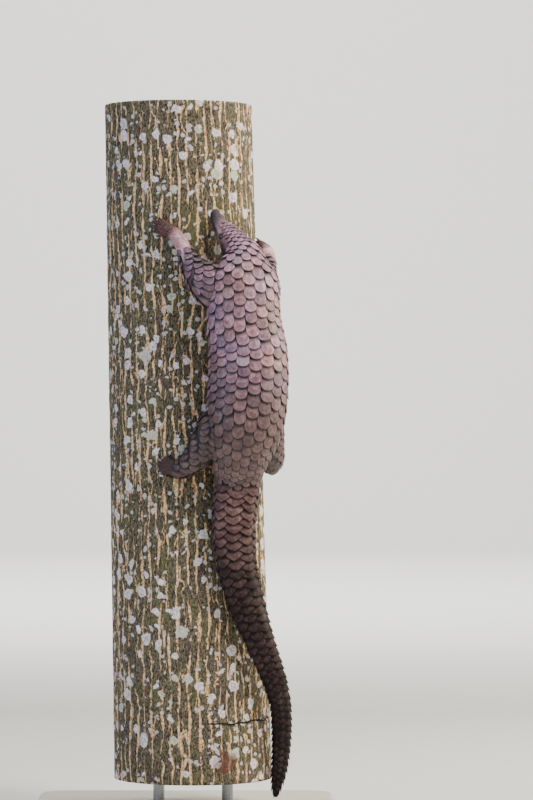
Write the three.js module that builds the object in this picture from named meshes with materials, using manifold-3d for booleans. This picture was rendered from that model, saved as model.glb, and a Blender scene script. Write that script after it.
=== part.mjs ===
// A tree pangolin clinging to a cut length of trunk on a plain display stand, life size.
// Millimetres, +Z up. The origin is on the floor under the middle of the stand's base.
// -Y is the side the animal is looked at from, +X is to the right as seen from there.
import * as THREE from 'three';
import { mergeVertices } from 'three/addons/utils/BufferGeometryUtils.js';
import Module from 'manifold-3d';

const wasm = await Module();
wasm.setup();

// Driving dimensions
const GAP = 0.3; // air kept between two pieces that touch
const DEG = Math.PI / 180;

const BASE = { width: 420, depth: 400, height: 20, corner: 34, edge: 2 };
const ROD = { radius: 8, spread: 96 };
const TRUNK = {
  bottom: 60,
  top: 1000,
  radiusAtFloor: 111.2,
  taper: 0.00786, // radius lost for each millimetre of height
  shiftAtFloor: 14.2,
  lean: 0.02214, // sideways shift to -X for each millimetre of height
  bark: 1.6, // depth of the furrows
};
const SCALE_RISE = 2.6; // how far the free edges of the scutes stand over the skin
const SEAM = GAP / 2;
const SCUTE_ROOT = 2.4; // how deep a scute's root lies under the skin
const SCUTE_DOME = 0.62; // the middle of a scute stands this share of its rise over its edge
const SQUARENESS = 0.94; // 1 is a round section, 0 a square one
const { lerp, clamp } = THREE.MathUtils;

const COLOURS = {
  bark: 0x4e4434, stand: 0xb9b2a6, steel: 0x8f9296, scute: 0x6d6068,
  tail: 0x564b4a, skin: 0x7d625a, horn: 0x3a3230, eye: 0x0b0a0e,
};

// Stations: a section is given by its place round the trunk in degrees from the viewer's side,
// its height of centre over the bark, its level, its width and its depth.
function station(around, rise, level, width, depth, facing = around) {
  return { centre: onTrunk(around, level, rise), width, depth, facing };
}

const BODY = {
  // from the nose to the tip of the tail
  line: [
    station(24.0, 12.6, 849.5, 7, 6, 32),
    station(24.6, 13.4, 845.5, 13, 12, 32),
    station(25.4, 15.0, 837.3, 17, 15, 32),
    station(27.6, 19.0, 826.3, 24, 21, 32),
    station(31.3, 26.0, 812.5, 37, 33, 32),
    station(33.8, 34.0, 797.3, 51, 44, 32),
    station(35.0, 40.0, 785.5, 64, 56, 33),
    station(34.7, 44.0, 771.0, 82, 70, 34),
    station(34.3, 47.0, 750.4, 102, 86, 34),
    station(33.5, 49.5, 697.1, 105, 94, 34),
    station(35.1, 51.0, 649.4, 112, 98, 34),
    station(34.5, 51.0, 601.6, 115, 98, 34),
    station(32.4, 49.0, 553.9, 112, 94, 33),
    station(31.5, 40.0, 512.9, 92, 74, 32),
    station(32.0, 30.0, 478.6, 69, 50, 32),
    station(30.1, 24.5, 423.8, 65, 39, 32),
    station(31.6, 21.5, 368.9, 61, 34, 33),
    station(38.2, 19.7, 313.7, 56, 31, 33),
    station(47.0, 23.9, 258.1, 44, 27, 34),
    station(58.5, 27.3, 201.6, 36, 22, 34),
    station(66.0, 26.2, 165.7, 32, 19, 34),
    station(72.5, 20.4, 115.7, 29, 17, 34),
    station(75.0, 14.3, 73.4, 24, 14, 34),
    station(75.0, 9.5, 48.2, 15, 10, 34),
    station(75.0, 7.7, 35.5, 4, 3.5, 34),
  ],
};

// Each length of the body: where it ends along the line, by station, and how it is scaled.
// A field of scutes has rows along the length and columns over an arc either side of the back.
const LENGTHS = [
  { name: 'head', start: 0, end: 5.7, rings: 10, sides: 16, colour: COLOURS.scute,
    scutes: { rows: 6, columns: 5, arc: 60, width: 8, length: 8.5, first: 0.3 } },
  { name: 'neck', start: 5.7, end: 7.45, rings: 2, sides: 18, colour: COLOURS.scute,
    scutes: { rows: 2, columns: 8, arc: 100, width: 13, length: 14 } },
  { name: 'torso_front', start: 7.45, end: 10.05, rings: 4, sides: 18, colour: COLOURS.scute,
    scutes: { rows: 5, columns: 9, arc: 104, width: 18, length: 19 } },
  { name: 'torso_rear', start: 10.05, end: 13.6, rings: 6, sides: 18, colour: COLOURS.scute,
    scutes: { rows: 6, columns: 9, arc: 104, width: 18, length: 19 } },
  { name: 'tail_base', start: 13.6, end: 15.9, rings: 4, sides: 16, colour: COLOURS.tail,
    scutes: { rows: 4, columns: 6, arc: 180, width: 20, length: 19 } },
  { name: 'tail_upper', start: 15.9, end: 17.9, rings: 4, sides: 16, colour: COLOURS.tail,
    scutes: { rows: 4, columns: 6, arc: 180, width: 18, length: 17 } },
  { name: 'tail_lower', start: 17.9, end: 20.2, rings: 5, sides: 12, colour: COLOURS.tail,
    scutes: { rows: 5, columns: 4, arc: 180, width: 14, length: 15 } },
  { name: 'tail_tip', start: 20.2, end: 24, rings: 6, sides: 10, colour: COLOURS.tail,
    scutes: { rows: 7, columns: 3, arc: 180, width: 10, length: 11 } },
];

const LIMBS = [
  { name: 'arm_left',
    line: [
      station(24, 40, 738, 70, 46), station(17, 37, 748, 62, 42), station(10.5, 26, 763, 42, 32),
      station(5.9, 17, 780, 27, 23), station(2.0, 12.5, 799, 21, 20), station(-2.4, 11, 812, 20, 18),
      station(-7.5, 10, 820.5, 19, 16), station(-12.5, 8.5, 823.6, 20, 14), station(-16.2, 6, 824, 13, 9),
    ],
    pieces: [['upper', 0, 3.05], ['fore', 3.05, 6.1], ['hand', 6.1, 8]],
    paw: { at: 7.1, fan: 8, reach: 11, claw: 14, thumb: 0.62, thick: 7.4 } },
  { name: 'arm_right',
    line: [
      station(45, 40, 734, 70, 46), station(53, 38, 742, 60, 42), station(62, 28, 753, 42, 32),
      station(72, 21, 768, 28, 24), station(81, 18, 784, 22, 21), station(90, 15, 794, 21, 19),
      station(98, 11, 800, 19, 16), station(104, 8.5, 803, 20, 14), station(107.8, 6, 804, 13, 9),
    ],
    pieces: [['upper', 0, 3.05], ['fore', 3.05, 6.1], ['hand', 6.1, 8]],
    paw: { at: 7.1, fan: 8, reach: 11, claw: 14, thumb: 0.62, thick: 7.4 } },
  { name: 'leg_left',
    line: [
      station(26, 42, 556, 74, 58), station(19, 38, 541, 66, 52), station(12.5, 30, 523, 50, 42),
      station(5.5, 22, 506, 35, 32), station(0, 15, 496, 27, 24), station(-5, 11, 494, 23, 18),
      station(-10, 8.5, 496, 22, 15), station(-14, 6.5, 498, 21, 12), station(-16.5, 5, 499, 14, 8),
    ],
    pieces: [['thigh', 0, 3.0], ['shank', 3.0, 5.05], ['foot', 5.05, 8]],
    paw: { at: 7.2, fan: 9, reach: 10, claw: 10, thumb: 0.75, thick: 6.8 } },
  { name: 'leg_right',
    line: [
      station(42, 42, 556, 74, 58), station(49, 38, 541, 66, 52), station(56, 32, 523, 52, 42),
      station(65, 25, 507, 38, 34), station(74, 17, 500, 29, 25), station(82, 12, 501, 23, 18),
      station(89, 8.5, 504, 22, 15), station(94, 6.5, 507, 21, 12), station(96.5, 5, 508, 14, 8),
    ],
    pieces: [['thigh', 0, 3.0], ['shank', 3.0, 5.05], ['foot', 5.05, 8]],
    paw: { at: 7.2, fan: 9, reach: 10, claw: 10, thumb: 0.75, thick: 6.8 } },
];
const LIMB_SCUTES = { rows: 4, columns: 4, arc: 75, width: 13, length: 14 };
const DIGITS = 5;

// The face: places are counted in stations along the body and in degrees from the middle of the back
const EYE = {
  at: 3.78, side: 62, radius: 4, proud: 1.5,
  lids: { wide: 3.5, long: 4.1, thick: 1, raised: 0.3 },
};
const EAR = { at: 4.9, side: 86, hole: 1.6, fold: { wide: 4.6, long: 3.2, thick: 1.3, raised: 0 } };
const NOSTRIL = { at: 0.42, side: 52, radius: 1.15 };
const MOUTH = { front: 0.95, corner: 2.15, side: 62, lip: 0.9, groove: 0.55 };

const root = new THREE.Group();

// The trunk's own shape
function trunkRadius(level) {
  return TRUNK.radiusAtFloor - TRUNK.taper * level;
}

function onTrunk(around, level, rise) {
  const reach = trunkRadius(level) + rise;
  const shift = TRUNK.shiftAtFloor - TRUNK.lean * level;
  const x = shift + reach * Math.sin(around * DEG);
  const y = -reach * Math.cos(around * DEG);
  return new THREE.Vector3(x, y, level);
}

// Seeded numbers from 0 to 1, the same on every run
function seeded(seed) {
  let state = seed;
  return () => {
    state = (state * 1664525 + 1013904223) % 4294967296;
    return state / 4294967296;
  };
}

// Solids and meshes
function toSolid(geometry) {
  const bare = new THREE.BufferGeometry();
  bare.setAttribute('position', geometry.attributes.position.clone());
  if (geometry.index) bare.setIndex(geometry.index.clone());
  const merged = mergeVertices(bare, 1e-4);
  const vertProperties = new Float32Array(merged.attributes.position.array);
  const kept = [];
  const index = merged.index.array;
  for (let corner = 0; corner < index.length; corner += 3) {
    const [a, b, c] = [index[corner], index[corner + 1], index[corner + 2]];
    if (a !== b && b !== c && c !== a) kept.push(a, b, c);
  }
  const mesh = new wasm.Mesh({ numProp: 3, vertProperties, triVerts: new Uint32Array(kept) });
  return new wasm.Manifold(mesh);
}

function largest(solid) {
  const shells = solid.decompose();
  return shells.reduce((best, shell) => (shell.volume() > best.volume() ? shell : best));
}

function toGeometry(solid) {
  const mesh = solid.getMesh();
  const geometry = new THREE.BufferGeometry();
  geometry.setAttribute('position', new THREE.BufferAttribute(new Float32Array(mesh.vertProperties), 3));
  geometry.setIndex(new THREE.BufferAttribute(new Uint32Array(mesh.triVerts), 1));
  return geometry;
}

function joined(solids) {
  return wasm.Manifold.union(solids);
}

function finish(colour, roughness = 0.7, metalness = 0) {
  return new THREE.MeshStandardMaterial({ color: colour, roughness, metalness });
}

function addNode(name, geometry, material, place = new THREE.Vector3()) {
  geometry.computeVertexNormals();
  const mesh = new THREE.Mesh(geometry, material);
  mesh.name = name;
  mesh.position.copy(place);
  root.add(mesh);
}

// A length of flesh is a line of centres with a width, a depth and a facing at each point.
class FleshLine {
  constructor(stations, inset = 0) {
    this.last = stations.length - 1;
    this.centres = new THREE.CatmullRomCurve3(stations.map((s) => s.centre), false, 'centripetal');
    this.sizes = new THREE.CatmullRomCurve3(
      stations.map((s) => new THREE.Vector3(s.width / 2, s.depth / 2, s.facing)));
    this.inset = inset;
  }

  // Half width, half depth and facing at a place counted in stations
  sizeAt(along) {
    return this.sizes.getPoint(clamp(along / this.last, 0, 1));
  }

  centreAt(along) {
    return this.centres.getPoint(clamp(along / this.last, 0, 1));
  }

  frameAt(along) {
    const step = 0.02;
    const tangent = this.centreAt(along + step).sub(this.centreAt(along - step)).normalize();
    const facing = this.sizeAt(along).z * DEG;
    const back = new THREE.Vector3(Math.sin(facing), -Math.cos(facing), 0);
    back.addScaledVector(tangent, -back.dot(tangent)).normalize();
    return { tangent, back, side: new THREE.Vector3().crossVectors(back, tangent) };
  }

  // The skin at an angle in degrees from the middle of the back, positive to the animal's right
  skin(along, angle, share = 1, grow = 0) {
    const { back, side } = this.frameAt(along);
    const size = this.sizeAt(along);
    const inset = Math.min(this.inset, 0.3 * size.y) - grow;
    const x = (size.x - inset) * rounded(Math.sin(angle * DEG)) * share;
    const z = (size.y - inset) * rounded(Math.cos(angle * DEG)) * share;
    return this.centreAt(along).addScaledVector(side, x).addScaledVector(back, z);
  }

  // The way out of the skin, across it and along it at one place
  skinFrame(along, angle) {
    const onward = this.skin(along + 0.05, angle).sub(this.skin(along - 0.05, angle)).normalize();
    const across = this.skin(along, angle + 3).sub(this.skin(along, angle - 3)).normalize();
    const out = new THREE.Vector3().crossVectors(onward, across).normalize();
    return { out, across, onward: new THREE.Vector3().crossVectors(across, out) };
  }

  // Millimetres for one station at this place
  stride(along) {
    return this.centreAt(along + 0.25).distanceTo(this.centreAt(along - 0.25)) / 0.5;
  }

  // How far along the line a number of millimetres leads
  stepFrom(along, distance) {
    const parts = 8;
    let place = along;
    for (let part = 0; part < parts; part += 1) place += distance / parts / this.stride(place);
    return place;
  }

  girth(along) {
    const size = this.sizeAt(along);
    return Math.PI * (size.x + size.y);
  }

  // The closed solid from one place to another
  solid({ start, end, sides, rings, grow = 0 }) {
    const tube = new THREE.CylinderGeometry(1, 1, 1, sides, rings);
    const position = tube.attributes.position;
    for (let i = 0; i < position.count; i += 1) {
      const along = lerp(start, end, 0.5 - position.getY(i));
      const angle = Math.atan2(position.getX(i), position.getZ(i)) / DEG;
      const share = Math.min(1, Math.hypot(position.getX(i), position.getZ(i)));
      const point = this.skin(along, angle, share, grow);
      position.setXYZ(i, point.x, point.y, point.z);
    }
    return toSolid(tube);
  }
}

// Sections are slightly squarer than an ellipse
function rounded(unit) {
  return Math.sign(unit) * Math.abs(unit) ** SQUARENESS;
}

// One scute: a rounded shield with a thin rim, domed on top. Its root and its underside are sunk
// in the skin, and its free edge is raised.
function scute(line, along, angle, width, length, lift) {
  const plate = new THREE.SphereGeometry(1, 7, 2, -Math.PI / 2);
  const position = plate.attributes.position;
  const millimetre = 360 / line.girth(along);
  const { out } = line.skinFrame(along, angle);
  const middle = 0.42;
  const dome = SCUTE_DOME * (1 + lift);
  for (let i = 0; i < position.count; i += 1) {
    const pole = Math.round(position.getY(i));
    const across = pole === 0 ? (width / 2) * position.getX(i) : 0;
    const share = pole === 0 ? middle + (1 - middle) * position.getZ(i) : middle;
    const rim = lerp(-SCUTE_ROOT / 2, lift, share);
    const height = [-SCUTE_ROOT, rim, dome][pole + 1];
    const place = line.stepFrom(along, share * length);
    const point = line.skin(place, angle + across * millimetre).addScaledVector(out, height);
    position.setXYZ(i, point.x, point.y, point.z);
  }
  return toSolid(plate);
}

// Rows of scutes like roof tiles, every other row shifted by half a column
function scuteField(line, start, end, field, random) {
  const plates = [];
  const first = line.stepFrom(start + (end - start) * (field.first ?? 0), 0.3 * field.length);
  const last = line.stepFrom(end, -1.06 * field.length);
  const full = field.arc === 180;
  for (let row = 0; row < field.rows; row += 1) {
    const along = lerp(first, last, row / (field.rows - 1));
    const odd = row % 2;
    const columns = full ? field.columns : field.columns - odd;
    const spacing = full ? 360 / field.columns : (2 * field.arc) / (field.columns - 1);
    for (let column = 0; column < columns; column += 1) {
      const angle = (column - (full ? 0 : (columns - 1) / 2)) * spacing + (full ? odd * spacing / 2 : 0);
      const size = 0.93 + 0.14 * random();
      const lift = SCALE_RISE - 0.4 + 0.6 * random();
      plates.push(scute(line, along, angle, field.width * size, field.length * size, lift));
    }
  }
  return plates;
}

// Plates stay where they meet none of the given neighbours
function clearOf(plates, neighbours) {
  return plates.filter((plate) => neighbours.every((other) => plate.intersect(other).isEmpty()));
}

// A round cord along points, for lips, lids and grooves
function cord(points, radius) {
  const ring = new THREE.Shape();
  ring.absarc(0, 0, radius, 0, 2 * Math.PI);
  const path = new THREE.CatmullRomCurve3(points);
  const steps = points.length - 1;
  return toSolid(new THREE.ExtrudeGeometry(ring, { extrudePath: path, steps, curveSegments: 2 }));
}

function ball(centre, radius, across = 10) {
  const sphere = new THREE.SphereGeometry(radius, across, Math.ceil(across * 0.6));
  sphere.translate(centre.x, centre.y, centre.z);
  return toSolid(sphere);
}

const bodyLine = new FleshLine(BODY.line, SCALE_RISE);

function trunkSolid(grow) {
  const tube = new THREE.CylinderGeometry(1, 1, 1, 48, 1);
  const position = tube.attributes.position;
  for (let i = 0; i < position.count; i += 1) {
    const level = position.getY(i) > 0 ? TRUNK.top : TRUNK.bottom;
    const reach = Math.hypot(position.getX(i), position.getZ(i)) > 0.5 ? trunkRadius(level) + grow : 0;
    const turn = Math.atan2(position.getX(i), position.getZ(i));
    const shift = TRUNK.shiftAtFloor - TRUNK.lean * level;
    position.setXYZ(i, shift + reach * Math.sin(turn), -reach * Math.cos(turn), level);
  }
  return toSolid(tube);
}

// The stand: a flat base and two short rods that carry the trunk
function addStand() {
  const { width, depth, height, corner, edge } = BASE;
  const [x, y] = [width / 2 - edge, depth / 2 - edge];
  const plate = new THREE.Shape();
  plate.moveTo(x - corner, -y);
  plate.absarc(x - corner, -y + corner, corner, -Math.PI / 2, 0);
  plate.absarc(x - corner, y - corner, corner, 0, Math.PI / 2);
  plate.absarc(-x + corner, y - corner, corner, Math.PI / 2, Math.PI);
  plate.absarc(-x + corner, -y + corner, corner, Math.PI, 1.5 * Math.PI);
  const bevel = { bevelThickness: edge, bevelSize: edge, bevelSegments: 1 };
  const slab = new THREE.ExtrudeGeometry(plate, { depth: height - 2 * edge, curveSegments: 3, ...bevel });
  addNode('stand_base', toGeometry(toSolid(slab)), finish(COLOURS.stand, 0.5), new THREE.Vector3(0, 0, edge));

  const length = TRUNK.bottom - height - 2 * GAP;
  const shift = TRUNK.shiftAtFloor - TRUNK.lean * TRUNK.bottom;
  for (const [side, name] of [[-1, 'stand_rod_left'], [1, 'stand_rod_right']]) {
    const rod = new THREE.CylinderGeometry(ROD.radius, ROD.radius, length, 14, 1);
    rod.rotateX(Math.PI / 2);
    const place = new THREE.Vector3(shift + (side * ROD.spread) / 2, 0, height + GAP + length / 2);
    addNode(name, toGeometry(toSolid(rod)), finish(COLOURS.steel, 0.35, 0.9), place);
  }
}

// The cut trunk, furrowed along its length, with sawn ends
function addTrunk() {
  const [sides, rings] = [34, 8];
  const tube = new THREE.CylinderGeometry(1, 1, 1, sides, rings);
  const position = tube.attributes.position;
  for (let i = 0; i < position.count; i += 1) {
    const level = lerp(TRUNK.bottom, TRUNK.top, position.getY(i) + 0.5);
    const turn = Math.atan2(position.getX(i), position.getZ(i));
    const ridge = Math.sin(9 * turn + 1.7 * Math.sin(level / 83)) + Math.sin(14 * turn - level / 61);
    const furrow = TRUNK.bark * (0.5 - 0.25 * ridge);
    const share = Math.min(1, Math.hypot(position.getX(i), position.getZ(i)));
    const reach = share * (trunkRadius(level) - furrow);
    const shift = TRUNK.shiftAtFloor - TRUNK.lean * level;
    position.setXYZ(i, shift + reach * Math.sin(turn), -reach * Math.cos(turn), level);
  }
  addNode('perch_trunk', toGeometry(toSolid(tube)), finish(COLOURS.bark, 0.95));
}

const trunkClear = trunkSolid(GAP);
const limbLines = LIMBS.map((limb) => ({ ...limb, flesh: new FleshLine(limb.line) }));
const limbZones = limbLines.map(({ flesh }) =>
  flesh.solid({ start: 0, end: flesh.last, sides: 14, rings: 12, grow: 1.5 }));

// Head, neck, torso and tail
function addBody() {
  const random = seeded(7);
  for (const part of LENGTHS) {
    const first = part.start === 0;
    const start = first ? 0 : bodyLine.stepFrom(part.start, SEAM);
    const end = part.end === bodyLine.last ? part.end : bodyLine.stepFrom(part.end, -SEAM);
    const core = bodyLine.solid({ start, end, sides: part.sides, rings: part.rings });
    const plates = scuteField(bodyLine, start, end, part.scutes, random);
    const kept = clearOf(plates, [...limbZones, trunkClear]);
    let solid = joined([core, ...kept]);
    if (part.name === 'head') solid = withFace(solid);
    addNode(part.name, toGeometry(largest(solid)), finish(part.colour));
  }
}

// A ring lying on the body round one place, for lids and the folds of the ears
function skinRing(along, angle, { wide, long, thick, raised }) {
  const { out, across, onward } = bodyLine.skinFrame(along, angle);
  const ring = new THREE.TorusGeometry(long, thick, 4, 10);
  const position = ring.attributes.position;
  for (let i = 0; i < position.count; i += 1) {
    const [x, y, z] = [position.getX(i), position.getY(i), position.getZ(i)];
    const point = bodyLine.skin(along, angle);
    point.addScaledVector(onward, x);
    point.addScaledVector(across, (y * wide) / long);
    point.addScaledVector(out, z + raised);
    position.setXYZ(i, point.x, point.y, point.z);
  }
  return toSolid(ring);
}

// Lids, eye sockets, nostrils, lips with the line of the mouth, and the folds of the ears
function withFace(head) {
  const added = [];
  const cut = [];
  for (const side of [-1, 1]) {
    added.push(skinRing(EYE.at, side * EYE.side, EYE.lids));
    cut.push(ball(eyeCentre(side), EYE.radius + GAP, 10));
    added.push(skinRing(EAR.at, side * EAR.side, EAR.fold));
    cut.push(ball(bodyLine.skin(EAR.at, side * EAR.side), EAR.hole, 6));
    cut.push(ball(bodyLine.skin(NOSTRIL.at, side * NOSTRIL.side), NOSTRIL.radius, 6));
  }
  const lips = [];
  for (let turn = -1; turn <= 1; turn += 1 / 3) {
    const place = lerp(MOUTH.front, MOUTH.corner, turn ** 2);
    lips.push(bodyLine.skin(place, 180 + turn * MOUTH.side));
  }
  const groove = lips.map((point) => point.clone().lerp(bodyLine.centreAt(MOUTH.corner), -0.12));
  added.push(cord(lips, MOUTH.lip));
  cut.push(cord(groove, MOUTH.groove));
  return joined([head, ...added]).subtract(joined(cut));
}

function eyeCentre(side) {
  const { out } = bodyLine.skinFrame(EYE.at, side * EYE.side);
  return bodyLine.skin(EYE.at, side * EYE.side).addScaledVector(out, EYE.proud - EYE.radius);
}

function addEyes() {
  for (const [side, name] of [[-1, 'eye_left'], [1, 'eye_right']]) {
    const sphere = new THREE.SphereGeometry(EYE.radius, 10, 6);
    addNode(name, toGeometry(toSolid(sphere)), finish(COLOURS.eye, 0.08), eyeCentre(side));
  }
}

// A digit and its claw lie on one line over the bark, fanned out from the palm
function digitLine(flesh, paw, number) {
  const spread = number - (DIGITS - 1) / 2;
  const { tangent, side } = flesh.frameAt(paw.at);
  const palm = flesh.centreAt(paw.at);
  const half = 0.86 * flesh.sizeAt(paw.at).x;
  const outer = Math.abs(spread) / 2;
  const share = 1 - (1 - paw.thumb) * outer ** 2;
  const turn = spread * paw.fan * DEG;
  const forward = tangent.clone().multiplyScalar(Math.cos(turn)).addScaledVector(side, Math.sin(turn));
  const start = palm.clone().addScaledVector(side, (half * spread) / 2).addScaledVector(tangent, -3 - 4 * outer);
  const digit = paw.reach * share;
  const claw = paw.claw * share;
  const thick = paw.thick * share;
  const bend = [
    { ahead: 0, rise: 5.2, part: 1 },
    { ahead: 0.55 * digit, rise: 5.8, part: 1 },
    { ahead: digit, rise: 5.8, part: 0.86 },
    { ahead: digit + 0.4 * claw, rise: 5.6, part: 0.62 },
    { ahead: digit + 0.8 * claw, rise: 3.4, part: 0.42 },
    { ahead: digit + 0.97 * claw, rise: 1.6, part: 0.24 },
  ];
  return new FleshLine(bend.map(({ ahead, rise, part }) => {
    const { x, y, z: level } = start.clone().addScaledVector(forward, ahead);
    const around = Math.atan2(x - TRUNK.shiftAtFloor + TRUNK.lean * level, -y) / DEG;
    return { centre: onTrunk(around, level, rise), width: thick * part, depth: thick * part, facing: around };
  }));
}

// The body's own facets, swollen, with its seams closed
function bodyGrown(grow) {
  return joined(LENGTHS.map(({ start, end, sides, rings }) => bodyLine.solid({
    start: bodyLine.stepFrom(start, -SEAM), end: bodyLine.stepFrom(end, SEAM), sides, rings, grow,
  })));
}

function addLimbs() {
  const random = seeded(23);
  const bodyClear = bodyGrown(1.5 * GAP);
  const bodyZone = bodyGrown(4);
  for (const { name, flesh, pieces, paw } of limbLines) {
    for (const [piece, from, to] of pieces) {
      const start = from === 0 ? 0 : flesh.stepFrom(from, SEAM);
      const end = flesh.stepFrom(to, -SEAM);
      let solid = flesh.solid({ start, end, sides: to === flesh.last ? 10 : 14, rings: 4 });
      const scaled = from === 0;
      if (scaled) {
        const plates = scuteField(flesh, start, end, LIMB_SCUTES, random);
        solid = joined([solid, ...clearOf(plates, [bodyZone, trunkClear])]);
      }
      if (to === flesh.last) {
        const { digits, clawRoom } = addClaws(name, flesh, paw);
        solid = joined([solid, ...digits]);
        solid = solid.subtract(joined(clawRoom));
      }
      solid = solid.subtract(bodyClear).subtract(trunkClear);
      const colour = scaled ? COLOURS.scute : COLOURS.skin;
      addNode(`${name}_${piece}`, toGeometry(largest(solid)), finish(colour));
    }
  }
}

// Adds the claws as nodes of their own and gives back the digits and the room round each claw
function addClaws(name, flesh, paw) {
  const digits = [];
  const clawRoom = [];
  const nail = 2.3;
  for (let number = 0; number < DIGITS; number += 1) {
    const line = digitLine(flesh, paw, number);
    digits.push(line.solid({ start: 0, end: nail, sides: 6, rings: 2 }));
    const shape = { start: line.stepFrom(nail, GAP), end: line.last, sides: 6, rings: 3 };
    clawRoom.push(line.solid({ ...shape, start: nail, grow: GAP }));
    const kept = largest(line.solid(shape).subtract(trunkClear));
    addNode(`${name}_claw_${number + 1}`, toGeometry(kept), finish(COLOURS.horn, 0.4));
  }
  return { digits, clawRoom };
}

addStand();
addTrunk();
addBody();
addEyes();
addLimbs();

export default root;
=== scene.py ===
import math

import bpy
import numpy as np
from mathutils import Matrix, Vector


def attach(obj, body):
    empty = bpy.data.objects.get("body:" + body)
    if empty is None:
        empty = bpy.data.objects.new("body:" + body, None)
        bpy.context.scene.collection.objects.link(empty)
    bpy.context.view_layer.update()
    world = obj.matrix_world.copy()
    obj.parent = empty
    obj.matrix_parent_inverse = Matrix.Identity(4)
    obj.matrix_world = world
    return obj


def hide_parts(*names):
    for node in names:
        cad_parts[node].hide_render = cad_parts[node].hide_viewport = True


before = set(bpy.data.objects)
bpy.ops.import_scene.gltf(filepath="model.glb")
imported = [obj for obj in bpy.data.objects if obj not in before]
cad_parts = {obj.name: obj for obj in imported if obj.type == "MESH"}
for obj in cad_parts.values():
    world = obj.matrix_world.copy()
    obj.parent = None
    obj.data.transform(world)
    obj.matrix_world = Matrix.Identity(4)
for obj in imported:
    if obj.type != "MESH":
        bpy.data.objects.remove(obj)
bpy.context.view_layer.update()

bpy.ops.object.select_all(action="DESELECT")

MM = 0.001
TRUNK = {"bottom": 60.0, "top": 1000.0, "radius": 111.2, "taper": 0.00786, "shift": 14.2, "lean": 0.02214}

# Stations from the nose to the tip of the tail: place round the trunk in degrees, height of the
# centre over the bark, level, width, depth, and the way that the back faces.
BODY = (
    (24.0, 12.6, 849.5, 7, 6, 32), (24.6, 13.4, 845.5, 13, 12, 32), (25.4, 15.0, 837.3, 17, 15, 32),
    (27.6, 19.0, 826.3, 24, 21, 32), (31.3, 26.0, 812.5, 37, 33, 32), (33.8, 34.0, 797.3, 51, 44, 32),
    (35.0, 40.0, 785.5, 64, 56, 33), (34.7, 44.0, 771.0, 82, 70, 34), (34.3, 47.0, 750.4, 102, 86, 34),
    (33.5, 49.5, 697.1, 105, 94, 34), (35.1, 51.0, 649.4, 112, 98, 34), (34.5, 51.0, 601.6, 115, 98, 34),
    (32.4, 49.0, 553.9, 112, 94, 33), (31.5, 40.0, 512.9, 92, 74, 32), (32.0, 30.0, 478.6, 69, 50, 32),
    (30.1, 24.5, 423.8, 65, 39, 32), (31.6, 21.5, 368.9, 61, 34, 33), (38.2, 19.7, 313.7, 56, 31, 33),
    (47.0, 23.9, 258.1, 44, 27, 34), (58.5, 27.3, 201.6, 36, 22, 34), (66.0, 26.2, 165.7, 32, 19, 34),
    (72.5, 20.4, 115.7, 29, 17, 34), (75.0, 14.3, 73.4, 24, 14, 34), (75.0, 9.5, 48.2, 15, 10, 34),
    (75.0, 7.7, 35.5, 4, 3.5, 34),
)
# The same for the limbs, whose back faces straight away from the trunk
LIMBS = {
    "arm_left": (
        (24, 40, 738, 70, 46), (17, 37, 748, 62, 42), (10.5, 26, 763, 42, 32), (5.9, 17, 780, 27, 23),
        (2.0, 12.5, 799, 21, 20), (-2.4, 11, 812, 20, 18), (-7.5, 10, 820.5, 19, 16),
        (-12.5, 8.5, 823.6, 20, 14), (-16.2, 6, 824, 13, 9),
    ),
    "arm_right": (
        (45, 40, 734, 70, 46), (53, 38, 742, 60, 42), (62, 28, 753, 42, 32), (72, 21, 768, 28, 24),
        (81, 18, 784, 22, 21), (90, 15, 794, 21, 19), (98, 11, 800, 19, 16), (104, 8.5, 803, 20, 14),
        (107.8, 6, 804, 13, 9),
    ),
    "leg_left": (
        (26, 42, 556, 74, 58), (19, 38, 541, 66, 52), (12.5, 30, 523, 50, 42), (5.5, 22, 506, 35, 32),
        (0, 15, 496, 27, 24), (-5, 11, 494, 23, 18), (-10, 8.5, 496, 22, 15), (-14, 6.5, 498, 21, 12),
        (-16.5, 5, 499, 14, 8),
    ),
    "leg_right": (
        (42, 42, 556, 74, 58), (49, 38, 541, 66, 52), (56, 32, 523, 52, 42), (65, 25, 507, 38, 34),
        (74, 17, 500, 29, 25), (82, 12, 501, 23, 18), (89, 8.5, 504, 22, 15), (94, 6.5, 507, 21, 12),
        (96.5, 5, 508, 14, 8),
    ),
}
PAWS = {
    "arm": {"at": 7.1, "fan": 8, "reach": 11, "claw": 14, "thumb": 0.62, "thick": 7.4},
    "leg": {"at": 7.2, "fan": 9, "reach": 10, "claw": 10, "thumb": 0.75, "thick": 6.8},
}
DIGITS = 5
EYE = {"at": 3.78, "side": 62, "radius": 4.0, "proud": 1.5, "lid": 4.9}
EAR = {"at": 4.9, "side": 86}
NOSTRIL = {"at": 0.42, "side": 52}
MOUTH = {"front": 0.95, "corner": 2.15, "side": 62}


# The trunk's own shape
def trunk_radius(level):
    return TRUNK["radius"] - TRUNK["taper"] * level


def trunk_shift(level):
    return TRUNK["shift"] - TRUNK["lean"] * level


def on_trunk(around, level, rise):
    around = np.radians(around)
    reach = trunk_radius(level) + rise
    x = trunk_shift(level) + reach * np.sin(around)
    return np.stack([x, -reach * np.cos(around), level + 0 * reach], -1)


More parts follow.
